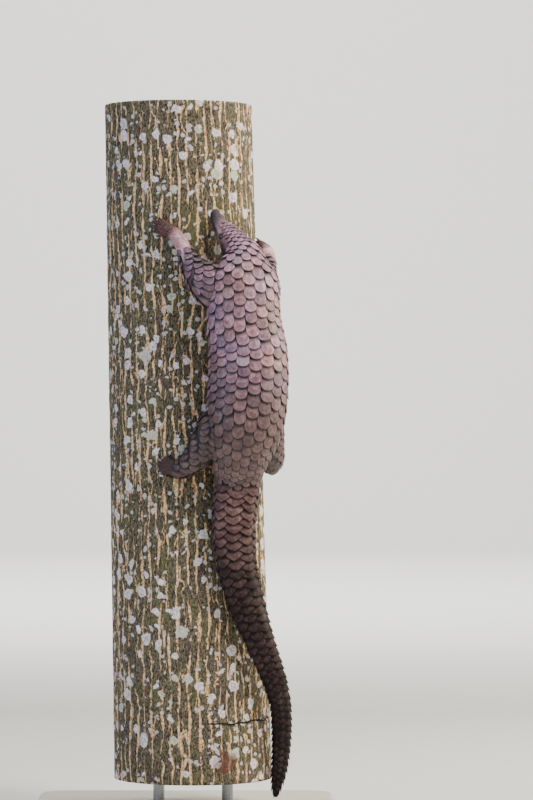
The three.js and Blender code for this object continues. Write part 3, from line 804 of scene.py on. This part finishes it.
# Dark rims of the eyes, a darkening of the whole face, painted shade on the cheeks and throat,
# in the nostrils and ear openings and along the mouth, and the lids round the eyes
def face_darkness(points, along, angle):
    dark, lids = 0.42 * smooth_step(along, 6.4, 5.0), np.zeros(len(points))
    # painted shade on the cheeks and throat, weaker round the eyes
    cheek_shade = smooth_step(np.abs(angle), 52, 76) * smooth_step(along, 0.9, 1.8)
    for side in SIDES:
        away = distance_to(points, eye_front(side))
        dark = np.maximum(dark, smooth_step(away, 4.9, 3.9))
        lids = np.maximum(lids, smooth_step(away, 4.6, 5.2) * smooth_step(away, 8.5, 6.0))
        # painted shade in the nostrils and the ear openings
        for hole, reach in ((nostril_centre(side), 1.9), (ear_centre(side), 3.4)):
            dark = np.maximum(dark, smooth_step(distance_to(points, hole), reach, 0.5 * reach))
        cheek_shade *= 0.35 + 0.65 * smooth_step(distance_to(points, eye_centre(side)[0]), 7.0, 13.0)
    dark = np.maximum(dark, 0.86 * cheek_shade * smooth_step(along, 6.4, 5.4))
    # painted shade along the line of the mouth
    off, within = mouth_offset(along, angle)
    return np.maximum(dark, 0.9 * within * np.exp(-(off / 0.8) ** 2) * (along < 4)), lids


def add_body_sleeve():
    cap = body.place(SNOUT_END)
    rows = [(cap * share, round_share) for share, round_share in ROUND_END]
    for start, end, step in ((cap, 5.6, 0.8), (5.7, 14.0, 3.6), (14.05, body.last, 3.8)):
        rows += full_rows(body, start, end, step)
    piece = sleeve("skin", body, rows + [(body.last, 0.0)], 96)
    points = corners(piece) / MM
    head = points[:, 2] > HEAD_LEVEL
    along, angle, _ = body.locate(points[head])
    lift = face_relief(points[head], along, angle)
    points[head] += body.out(along, angle) * lift[:, None]
    move_corners(piece, points * MM)
    return piece


# Toes and fingers lie on one line with their claws, fanned out from the palm
def digit_line(flesh, paw, number):
    spread = number - (DIGITS - 1) / 2
    outer = abs(spread) / 2
    share = 1 - (1 - paw["thumb"]) * outer ** 2
    tangent, _, side = flesh.frame(paw["at"])
    half = 0.86 * flesh.size(paw["at"])[0]
    turn = math.radians(spread * paw["fan"])
    forward = tangent * math.cos(turn) + side * math.sin(turn)
    start = flesh.centre(paw["at"]) + side * (half * spread / 2) - tangent * (3 + 4 * outer)
    digit, claw, thick = (paw[part] * share for part in ("reach", "claw", "thick"))
    bend = ((0, 5.2, 1), (0.55 * digit, 5.8, 1), (digit, 5.8, 0.86), (digit + 0.4 * claw, 5.6, 0.62),
            (digit + 0.8 * claw, 3.4, 0.42), (digit + 0.97 * claw, 1.6, 0.24))
    stations = []
    for ahead, rise, part in bend:
        x, y, level = start + forward * ahead
        around = math.degrees(math.atan2(x - trunk_shift(level), -y))
        stations.append((around, rise, level, thick * part, thick * part))
    return Flesh(stations)


def digit_lines(name):
    paw = PAWS[name.split("_")[0]]
    return [digit_line(limbs[name], paw, number) for number in range(DIGITS)]


NAIL = 2.3  # place along a digit at which its claw begins
LIMB_CAP = 0.25  # places over which the end of a limb is rounded
VOXEL = 0.0011  # in metres


def add_limb(name):
    flesh = limbs[name]
    cap = flesh.last - LIMB_CAP
    rows = [(0.0, 0.0)] + full_rows(flesh, 0.02, cap, 2.0)
    rows += [(cap + LIMB_CAP * share, part) for share, part in ((0.4, 0.88), (0.75, 0.6), (1.0, 0.0))]
    pieces = [sleeve(name, flesh, rows, 40)]
    for line in digit_lines(name):
        rows = [(0.0, 0.0)] + full_rows(line, 0.05, NAIL, 1.2) + [(NAIL + 0.12, 0.8), (NAIL + 0.2, 0.0)]
        pieces.append(sleeve("digit", line, rows, 14, grow=0.25))
    limb = join(pieces, name)
    apply_modifier(limb, "REMESH", mode="VOXEL", voxel_size=VOXEL, use_smooth_shade=True)
    apply_modifier(limb, "SMOOTH", factor=0.5, iterations=4)
    return limb


def add_skin():
    skin = add_body_sleeve()
    for name in LIMBS:
        limb = add_limb(name)
        apply_modifier(skin, "BOOLEAN", operation="UNION", object=limb, solver="MANIFOLD")
        bpy.data.objects.remove(limb)
    points = corners(skin) / MM
    # The body's own corners are still selected; those in the creases at the limbs are smoothed with them
    soft = np.array([vertex.select for vertex in skin.data.vertices])
    body_out = body.locate(points)[2]
    for flesh in limbs.values():
        limb_out = flesh.locate(points)[2]
        soft |= (np.abs(body_out - 0.94) < 0.10) & (np.abs(limb_out - 0.98) < 0.12)
    edit_chosen(skin, soft)
    bpy.ops.mesh.vertices_smooth(factor=0.5, repeat=5)
    mode("OBJECT")
    mark_skin(skin)
    smooth_shade(skin)
    return skin


# Marks on the skin: red is bare skin, green the nose, blue the paws
def mark_skin(skin):
    points = corners(skin) / MM
    along, angle, out = body.locate(points)
    face = smooth_step(along, 5.4, 4.2) * (out < 1.25)
    nose = smooth_step(along, 3.9, 1.8) * (out < 1.4)
    belly = smooth_step(np.abs(angle), 112, 130) * smooth_step(along, 5, 7) * smooth_step(along, 14.8, 13.6)
    # the bare face is less pink on its sides and underside, where shade is painted
    bare = np.maximum(face * (1 - 0.7 * smooth_step(np.abs(angle), 52, 92)), 0.85 * belly)
    paws = np.zeros(len(points))
    nearest = np.full(len(points), 1.35)
    for name, flesh in limbs.items():
        place, _, limb_out = flesh.locate(points)
        mine = (limb_out < nearest) & ((out > 1.0) | (place > 3))
        nearest = np.where(mine, limb_out, nearest)
        pink, start, reach = (1.0, 4.6, 1.2) if name.startswith("arm") else (0.15, 3.6, 1.6)
        bare = np.where(mine, pink * smooth_step(place, 2.5, 3.3), bare)
        paws = np.where(mine, smooth_step(place, start, start + reach), paws)
    dark, lids = face_darkness(points, along, angle)
    on_face = (along < 6) & (out < 1.5)
    for label, values in (("dark", dark * on_face), ("lids", lids * on_face)):
        layer = skin.data.attributes.new(label, "FLOAT", "POINT")
        layer.data.foreach_set("value", values.astype(np.float32))
    marks = skin.data.color_attributes.new("marks", "FLOAT_COLOR", "POINT")
    values = np.stack([bare, nose, paws, np.ones(len(points))], -1)
    marks.data.foreach_set("color", values.astype(np.float32).ravel())


# Claws are tubes like the digits, pressed flat from the sides towards their tips
def add_claws(name, material):
    pieces = []
    for line in digit_lines(name):
        rows = [(NAIL - 0.35, 0.0), (NAIL - 0.3, 0.8)] + full_rows(line, NAIL, line.last - 0.2, 1.2)
        claw = sleeve("claw", line, rows + [(line.last - 0.05, 0.75), (line.last, 0.0)], 12)
        points = corners(claw) / MM
        place, _, _ = line.locate(points)
        side = line.frame(place)[2]
        squeeze = 0.12 + 0.16 * smooth_step(place, NAIL, line.last)
        points -= side * (dot(points - line.centre(place), side) * squeeze)[:, None]
        move_corners(claw, points * MM)
        pieces.append(claw)
    claws = join(pieces, f"claws_{name}")
    smooth_shade(claws, 50)
    dress(claws, material, "claw_horn", *[f"{name}_claw_{number + 1}" for number in range(DIGITS)])


def add_eyes(material):
    for side, name in zip(SIDES, ("eye_left", "eye_right")):
        centre, out = eye_centre(side)
        bpy.ops.mesh.primitive_uv_sphere_add(segments=40, ring_count=24, radius=EYE["radius"] * MM,
                                             location=(centre + out * 0.3) * MM)
        ball = bpy.context.object
        ball.name = f"{name}_ball"
        bpy.ops.object.transform_apply(location=True, rotation=True, scale=True)
        smooth_shade(ball)
        dress(ball, material, "eye", name)


# One scale: a shield with a rounded free edge, modelled flat once.
# Its places run from -1 to 1 across it and from 0 at the root to 1 at the free edge.
def model_scale():
    columns, steps = 8, (0, 0.42, 0.7, 0.9, 1)
    bpy.ops.mesh.primitive_grid_add(x_subdivisions=columns, y_subdivisions=len(steps) - 1, size=2)
    plate = bpy.context.object
    edit(plate,
         lambda: bpy.ops.mesh.extrude_region_move(TRANSFORM_OT_translate={"value": (0, 0, -1)}),
         bpy.ops.mesh.dissolve_faces,
         turn_out)
    points = corners(plate)
    faces = [tuple(face.vertices) for face in plate.data.polygons]
    bpy.data.objects.remove(plate)
    across = np.sin(points[:, 0] * math.pi / 2)
    down = np.interp((points[:, 1] + 1) / 2, np.linspace(0, 1, len(steps)), steps)
    return across, down, points[:, 2] > -0.5, faces


PLATE = model_scale()
PIVOT = 0.3  # share of a scale's length at which it turns


# A field of scales is a list of dictionaries; this lays one over its flesh and gives its points
def lay_scale(flesh, one):
    across, down, top, _ = PLATE
    length, half, cut = one["length"], one["half"], one["cut"]
    arc = np.clip(1 - np.abs(across) ** 2.5, 0, 1) ** 0.55
    blunt = one["point"] * (1 - np.abs(across)) + (1 - one["point"]) * arc
    raised = down * (1 - one["crown"] / (1 - cut) * (1 - blunt))
    v = cut + (1 - cut) * raised
    u = across * (0.78 + 0.22 * smooth_step(raised, 0.0, 0.5))
    turn = math.radians(one["yaw"])
    ahead = length * (v - PIVOT)
    v_turned = ahead * math.cos(turn) - u * half * math.sin(turn)
    u_turned = ahead * math.sin(turn) + u * half * math.cos(turn)
    root = flesh.distance(one["along"])
    along = flesh.place(root + one["toward"] * (v_turned + PIVOT * length))
    angle = one["angle"] + u_turned / half * one["spread"]
    rim = smooth_step(np.abs(across), 0.8, 1.0) + smooth_step(down, 0.86, 1.0)
    thick = np.where(top, one["thick"] * (1 - 0.45 * np.clip(rim, 0, 1)), 0.0)
    rise = one["root"] + (one["lift"] - one["root"]) * raised + one["curl"] * np.clip(v - 0.5, 0, 1) ** 2
    ridge = one["keel"] * np.exp(-(across / 0.28) ** 2) * smooth_step(v, 0.3, 0.8)
    height = rise + one["camber"] * (1 - across ** 2) + ridge + thick
    points = flesh.skin(along, angle) + flesh.out(along, angle) * height[:, None]
    brink = np.maximum(down, np.interp(np.abs(across), (0, 0.9, 0.93, 1), (0, 0.8, 0.93, 1)))
    return points, np.stack([0.5 + 0.5 * u, v], -1), {"rim": np.where(top, 0.0, 1.0), "brink": brink}


# Strips of the unwrapped skin: left edge, width, and the length in millimetres that fills one
BAKE_STRIPS = {"body": (0.02, 0.5, 1000.0)}
for number, name in enumerate(LIMBS):
    BAKE_STRIPS[name] = (0.54 + 0.115 * number, 0.11, 180.0)
BAKE_PATCH = 0.003


# Where a scale's root lies on the unwrapped skin
def unwrap(flesh, strip, one):
    left, width, full = BAKE_STRIPS[strip]
    along = flesh.distance(one["along"]) / full
    return np.array([left + width * ((one["angle"] / 360 + 0.5) % 1), 0.02 + 0.95 * along])


def build_scales(name, fields, material, slot):
    count = len(PLATE[0])
    points, faces, maps, bakes = [], [], [], []
    drawn = {"tone": [], "sheltered": [], "rim": [], "brink": []}
    for strip, flesh, field in fields:
        for one in field:
            start = len(points) * count
            laid, uv, edges = lay_scale(flesh, one)
            points.append(laid)
            maps.append(uv)
            bakes.append(unwrap(flesh, strip, one) + BAKE_PATCH * (uv - 0.5))
            for label, values in drawn.items():
                values.append(np.full(count, edges.get(label, one.get(label)), float))
            order = reversed if one["toward"] < 0 else tuple
            faces += [[start + corner for corner in order(face)] for face in PLATE[3]]
    mesh = bpy.data.meshes.new(name)
    mesh.from_pydata(np.vstack(points) * MM, [], faces)
    piece = bpy.data.objects.new(name, mesh)
    bpy.context.scene.collection.objects.link(piece)
    corner_of = np.empty(len(mesh.loops), int)
    mesh.loops.foreach_get("vertex_index", corner_of)
    for layer, values in (("Plate", np.vstack(maps)), ("OFBake", np.vstack(bakes))):
        laid = values[corner_of].astype(np.float32).ravel()
        mesh.uv_layers.new(name=layer).data.foreach_set("uv", laid)
    for label, values in drawn.items():
        laid = np.concatenate(values).astype(np.float32)
        mesh.attributes.new(label, "FLOAT", "POINT").data.foreach_set("value", laid)
    smooth_shade(piece, 42)
    dress(piece, material, slot)


# The scaled part of the head, neck and torso, by place along the body: half its arc in degrees,
# the pitch in millimetres and the spacing of the columns in degrees
ARC = ((2.3, 2.9, 3.5, 4.2, 4.7, 5.3, 6.2, 7.2, 13.0, 14.4),
       (10, 34, 45, 50, 66, 84, 98, 116, 129, 129))
PITCH = ((2.3, 4.0, 5.0, 6.0, 7.0, 8.0, 10.0, 12.0, 13.0, 13.7, 14.3, 16.0, 17.0, 19.0, 21.0, 23.0, 24.0),
         (4.6, 6.3, 8.8, 11.6, 14.0, 16.5, 16.2, 14.8, 12.0, 10.2, 11.6, 13.2, 13.0, 11.0, 9.4, 8.0, 6.5))
SPACING = ((11.3, 12.6, 13.8), (18.3, 16.2, 19.5))
NECK = (6.5, 8.0)  # scales grow squarer over these places
TORSO = (2.35, 13.95)
TORSO_COLUMNS = 9  # on each side of the middle one, where there is room
TAIL = (13.8, 23.6)
TAIL_COLUMNS = 8
TAIL_ROOT = (14.2, 16.0)  # the bow of the free edges grows flatter over these places
# Scales that stand out on the back, by where their tips are across and up
MARKED_SCALES = (
    (81, 640, {"tone": 0.99, "curl": 0.5}), (70, 668, {"curl": 3.4, "tone": 0.15}),
    (106, 764, {"curl": 3.0}), (121, 757, {"curl": 3.2}), (137, 752, {"curl": 3.0}),
)


def one_scale(flesh, random, along, angle, pitch, spacing, cover=1.2, overlap=2.1, **wish):
    half = cover * spacing / 2 * flesh.girth(along) / 360
    thick = 0.34 + 0.026 * pitch
    rise = 4.3 * (thick + 0.1)
    angle = angle + random.normal(0, 0.035 * spacing)
    length = overlap * pitch * random.uniform(0.95, 1.06)
    spread = cover / 2 * spacing * random.uniform(0.95, 1.05)
    yaw = random.normal(0, 2.2)
    if random.uniform() < 0.12:
        yaw += random.uniform(-9, 9)
    one = {
        "along": along, "angle": angle, "toward": 1, "length": length, "spread": spread, "half": half,
        "yaw": yaw, "point": 0.1, "crown": min(0.42, 0.5 * half / pitch), "thick": thick,
        "root": -0.3 * rise, "lift": 0.72 * rise, "curl": random.uniform(0.3, 3.2) * thick,
        "camber": 0.05 * half, "keel": 0.0, "tone": random.uniform(0, 0.95), "sheltered": True, "cut": 0.0,
    }
    one.update(wish)
    return one


# Every second column starts half a pitch further on
def column_places(flesh, start, end, column, pitch_at):
    places = []
    travel = flesh.distance(start) + (column % 2) * 0.5 * pitch_at(start)
    while travel < flesh.distance(end):
        places.append(flesh.place(travel))
        travel += pitch_at(places[-1])
    return places


def body_pitch(along):
    return np.interp(along, *PITCH)


# A scale with none above it keeps its front part only, and its root gets no painted shade
def leave_uncovered(one, cut=0.42):
    one["cut"] = cut
    one["sheltered"] = False


# The turn that points a free edge between the line's own way and straight down
def hang(flesh, along, angle, toward, share):
    onward = unit(flesh.onward(along, angle))
    out = flesh.out(along, angle)
    down = np.array([0.0, 0.0, -1.0])
    wish = share * unit(down - out * dot(down, out)) + (1 - share) * toward * onward
    return math.degrees(math.atan2(dot(wish, np.cross(out, onward)), dot(wish, toward * onward)))


# Scales whose front half lies inside another part of the animal are left away
def hidden(flesh, one, others, depth=0.93):
    middle = lay_scale(flesh, one)[0][PLATE[1] > 0.5].mean(axis=0)[None]
    for other in others:
        place, _, out = other.locate(middle)
        if out[0] < depth and 0.15 < place[0] < other.last - 0.1:
            return True
    return False


def torso_field(random):
    field = []
    for column in range(-TORSO_COLUMNS, TORSO_COLUMNS + 1):
        uncovered = True
        for along in column_places(body, *TORSO, column, body_pitch):
            spacing = np.interp(along, *SPACING)
            angle = column * spacing
            if abs(angle) > np.interp(along, *ARC):
                continue
            one = one_scale(body, random, along, angle, body_pitch(along), spacing,
                            cover=np.interp(along, NECK, (1.2, 1.1)))
            one["crown"] *= np.interp(along, NECK, (0.95, 0.8))
            one["point"] = 0.08 + 0.3 * smooth_step(along, 11.5, 13.6)
            if uncovered:
                leave_uncovered(one)
            uncovered = False
            if not hidden(body, one, limbs.values()):
                field.append(one)
    tips = np.array([lay_scale(body, one)[0][PLATE[1] > 0.99].mean(axis=0) for one in field])
    for x, level, wish in MARKED_SCALES:
        away = np.hypot(tips[:, 0] - x, tips[:, 2] - level) + 9 * (tips[:, 1] > -120)
        field[int(away.argmin())].update(wish)
    return field


def tail_field(random):
    field = []
    spacing = 360 / TAIL_COLUMNS
    for column in range(TAIL_COLUMNS):
        angle = (column + 0.5) * spacing - 180
        for along in column_places(body, *TAIL, column, body_pitch):
            one = one_scale(body, random, along, angle, body_pitch(along), spacing, cover=1.3,
                            overlap=np.interp(along, TAIL_ROOT, (2.6, 2.2)), point=0.5, keel=0.5,
                            crown=np.interp(along, TAIL_ROOT, (0.44, 0.31)))
            one["lift"] *= 1.25
            if not hidden(body, one, limbs.values()):
                field.append(one)
    return field


# Scales of the limbs: on the outer side in upright columns, lean being the share of the limb's own
# way in how they hang, and on the under side in columns along the limb; their tones are lowered as
# painted shade, most on the arm
LIMB_SCALES = {
    "arm": {"start": 0.5, "end": 3.6, "spacing": 9.4, "pitch": 8.8, "lean": 0.0, "point": 0.12,
            "toward": -1, "columns": 13, "under": 140, "painted_shade": 0.35},
    "leg": {"start": 0.2, "end": 5.5, "spacing": 9.6, "pitch": 8.4, "lean": 0.3, "point": 0.3,
            "toward": 1, "columns": 15, "under": 165, "painted_shade": 0.0},
}
OUTER_ARC = 110  # half the arc of a limb on which the scales hang
SEEN = -0.12  # cosine of the steepest skin, seen from outside, that carries hanging scales
NEAR_CONTOUR = 0.3  # the same for skin near the contour, where a place may be missed by more
MISS, CONTOUR_MISS = 1.2, 4.6


# Places in upright columns on the side of a limb that is turned away from the trunk
def upright_places(flesh, start, end, spacing, pitch):
    along, angle = np.meshgrid(np.arange(start, end, 0.02), np.arange(-OUTER_ARC, OUTER_ARC + 1, 2.0))
    along, angle = along.ravel(), angle.ravel()
    points = flesh.skin(along, angle)
    middle = np.stack([trunk_shift(points[:, 2]), 0 * points[:, 2], points[:, 2]], -1)
    facing = dot(flesh.out(along, angle), unit(points - middle))
    seen = facing > SEEN
    along, angle, points, facing = (values[seen] for values in (along, angle, points, facing))
    around = np.arctan2(points[:, 0] - trunk_shift(points[:, 2]), -points[:, 1])
    column = TRUNK["radius"] * around / spacing
    nearest_column = np.rint(column).astype(int)
    row = points[:, 2] / pitch + 0.5 * (nearest_column % 2)
    nearest_row = np.rint(row).astype(int)
    miss = np.hypot((column - nearest_column) * spacing, (row - nearest_row) * pitch)
    best = {}
    for index in np.argsort(miss):
        best.setdefault((nearest_column[index], nearest_row[index]), index)
    allowed = np.where(facing < NEAR_CONTOUR, CONTOUR_MISS, MISS)
    found = {place: index for place, index in best.items() if miss[index] < allowed[index]}
    return [(along[index], angle[index], (place[0], place[1] + 1) in found)
            for place, index in sorted(found.items())]


def limb_field(name, random):
    flesh = limbs[name]
    kind = LIMB_SCALES[name.split("_")[0]]
    start, end, toward = kind["start"], kind["end"], kind["toward"]
    field = []

    def keep(one):
        if not hidden(flesh, one, [body], 0.9):
            field.append(one)

    for along, angle, covered in upright_places(flesh, start, end, kind["spacing"], kind["pitch"]):
        spacing = kind["spacing"] * 360 / flesh.girth(along)
        one = one_scale(flesh, random, along, angle, kind["pitch"], spacing, cover=1.36, point=kind["point"])
        one["yaw"] += hang(flesh, along, angle, 1, 1.0 - kind["lean"])
        # the place found is where the tip has to be, so the root goes back from it
        turn, tip = math.radians(one["yaw"]), (1 - PIVOT) * one["length"]
        back = PIVOT * one["length"] + tip * math.cos(turn)
        one["along"] = flesh.place(flesh.distance(along) - back)
        one["angle"] -= tip * math.sin(turn) / one["half"] * one["spread"]
        if not covered:
            leave_uncovered(one)
        keep(one)

    def pitch_at(place):
        return np.clip(flesh.girth(place) / kind["columns"], 5.0, 11.0)

    spacing = 360 / kind["columns"]
    for column in range(kind["columns"]):
        angle = column * spacing - 180
        if not 90 < abs(angle) < kind["under"]:
            continue
        for along in column_places(flesh, start, end, column, pitch_at):
            one = one_scale(flesh, random, along, angle, pitch_at(along), spacing, toward=toward,
                            point=kind["point"])
            one["yaw"] += hang(flesh, along, angle, toward, 0.4)
            if toward < 0 and along > end - 0.6:
                leave_uncovered(one)
            keep(one)
    # painted shade: the limbs' scales are darkened, the arms' most
    for one in field:
        one["tone"] = 0.5 * one["tone"] - kind["painted_shade"]
    return field


HEAD_END, FRONT_END = 6.0, 10.2  # the pieces in which the torso's scales are built


def add_scales():
    scute = scale_material("scute_horn", 0.75, 0.5, 0.4)
    tail_scute = scale_material("tail_scute_horn", 0.85, 0.46, 0.12)
    random = np.random.default_rng(11)
    torso = torso_field(random)
    for name, start, end in (("head", 0, HEAD_END), ("torso_front", HEAD_END, FRONT_END),
                             ("torso_rear", FRONT_END, body.last)):
        part = [one for one in torso if start <= one["along"] < end]
        build_scales(f"scales_{name}", [("body", body, part)], scute, "scutes")
    on_limbs = [(name, limbs[name], limb_field(name, random)) for name in LIMBS]
    build_scales("scales_limbs", on_limbs, scute, "scutes")
    build_scales("scales_tail", [("body", body, tail_field(random))], tail_scute, "tail_scutes")


TRUNK_MESH = {"sides": 230, "rings": 290, "inset": 0.9}
END_RINGS = (0.985, 0.955, 0.8, 0.7, 0.6)  # each ring of a sawn end as a share of the one before
END_REACH = 0.02  # the rim of an end lies within this of its level, in metres


# The heights in metres by which the bark's pattern lifts the mesh
def add_bark_relief(trunk):
    group = bpy.data.node_groups.new("bark_relief", "GeometryNodeTree")
    for way in ("INPUT", "OUTPUT"):
        group.interface.new_socket("Geometry", in_out=way, socket_type="NodeSocketGeometry")
    net = Net(group)
    position = net.add("GeometryNodeInputPosition").outputs[0]
    found = bark_pattern(net, position)
    fibre = net.noise(net.stretched(position, (1.0, 1.0, 0.25)), 150.0, 3.0)
    lift = 0.0
    for mark, height in ((found["strip"], -0.0011), (found["scar"], -0.0016),
                         (net.minus(fibre, 0.5), 0.0024), (found["big"], 0.0004)):
        lift = net.times_plus(mark, height, lift)
    offset = net.scaled(net.add("GeometryNodeInputNormal").outputs[0], lift)
    source = net.add("NodeGroupInput").outputs[0]
    moved = net.add("GeometryNodeSetPosition", {"Geometry": source, "Offset": offset})
    net.add("NodeGroupOutput", {0: moved.outputs[0]})
    apply_modifier(trunk, "NODES", node_group=group)


# The trunk: a fine tube with sawn ends, its bark lifted by the pattern that colours it
def add_trunk():
    bottom, top = TRUNK["bottom"], TRUNK["top"]
    bpy.ops.mesh.primitive_grid_add(x_subdivisions=TRUNK_MESH["sides"], y_subdivisions=TRUNK_MESH["rings"],
                                    size=2)
    trunk = bpy.context.object
    trunk.name = "bark_trunk"
    flat = corners(trunk)
    level = bottom + (top - bottom) * (flat[:, 1] + 1) / 2
    move_corners(trunk, MM * on_trunk(180 * flat[:, 0], level, -TRUNK_MESH["inset"]))
    merge_and_turn_out(trunk)
    add_bark_relief(trunk)
    smooth_shade(trunk)
    for end in (bottom, top):
        add_sawn_end(trunk, end)
    edit(trunk, turn_out)
    dress(trunk, bark_material(), "bark", "perch_trunk")
    trunk.data.materials.append(sawn_material())
    for face in trunk.data.polygons:
        level = face.center.z / MM
        reach = math.hypot(face.center.x - trunk_shift(level) * MM, face.center.y) / MM
        if min(abs(level - bottom), abs(level - top)) < 2.6 and reach < trunk_radius(level) - 4.5:
            face.material_index = 1


def add_sawn_end(trunk, level):
    edit(trunk,
         lambda: bpy.ops.mesh.select_mode(type="VERT"),
         lambda: bpy.ops.mesh.select_all(action="DESELECT"),
         bpy.ops.mesh.select_non_manifold)
    edit_chosen(trunk, [vertex.select and abs(vertex.co.z - level * MM) < END_REACH
                        for vertex in trunk.data.vertices])
    pivot = Vector((trunk_shift(level) * MM, 0, level * MM))
    for shrink in END_RINGS:
        bpy.ops.mesh.extrude_edges_move(TRANSFORM_OT_translate={"value": (0, 0, 0)})
        bpy.ops.transform.resize(value=(shrink, shrink, 1), center_override=pivot)
    bpy.ops.mesh.edge_face_add()
    mode("OBJECT")


FLESH_NODES = ["head", "neck", "torso_front", "torso_rear",
               "tail_base", "tail_upper", "tail_lower", "tail_tip"]
LIMB_PARTS = {"arm": ("upper", "fore", "hand"), "leg": ("thigh", "shank", "foot")}

add_camera()
add_studio()
skin = add_skin()
for limb in LIMBS:
    FLESH_NODES += [f"{limb}_{part}" for part in LIMB_PARTS[limb.split("_")[0]]]
dress(skin, skin_material(), "bare_skin", *FLESH_NODES)
add_scales()
horn = {"arm": claw_material("fore_claw_horn", "150f0f", "352b2a"),
        "leg": claw_material("hind_claw_horn", "3a2f30", "867479")}
for limb in LIMBS:
    add_claws(limb, horn[limb.split("_")[0]])
add_eyes(eye_material())
add_trunk()
paint, steel = stand_materials()
for name, material in (("stand_base", paint), ("stand_rod_left", steel), ("stand_rod_right", steel)):
    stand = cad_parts[name]
    stand.data.materials.clear()
    stand.data.materials.append(material)
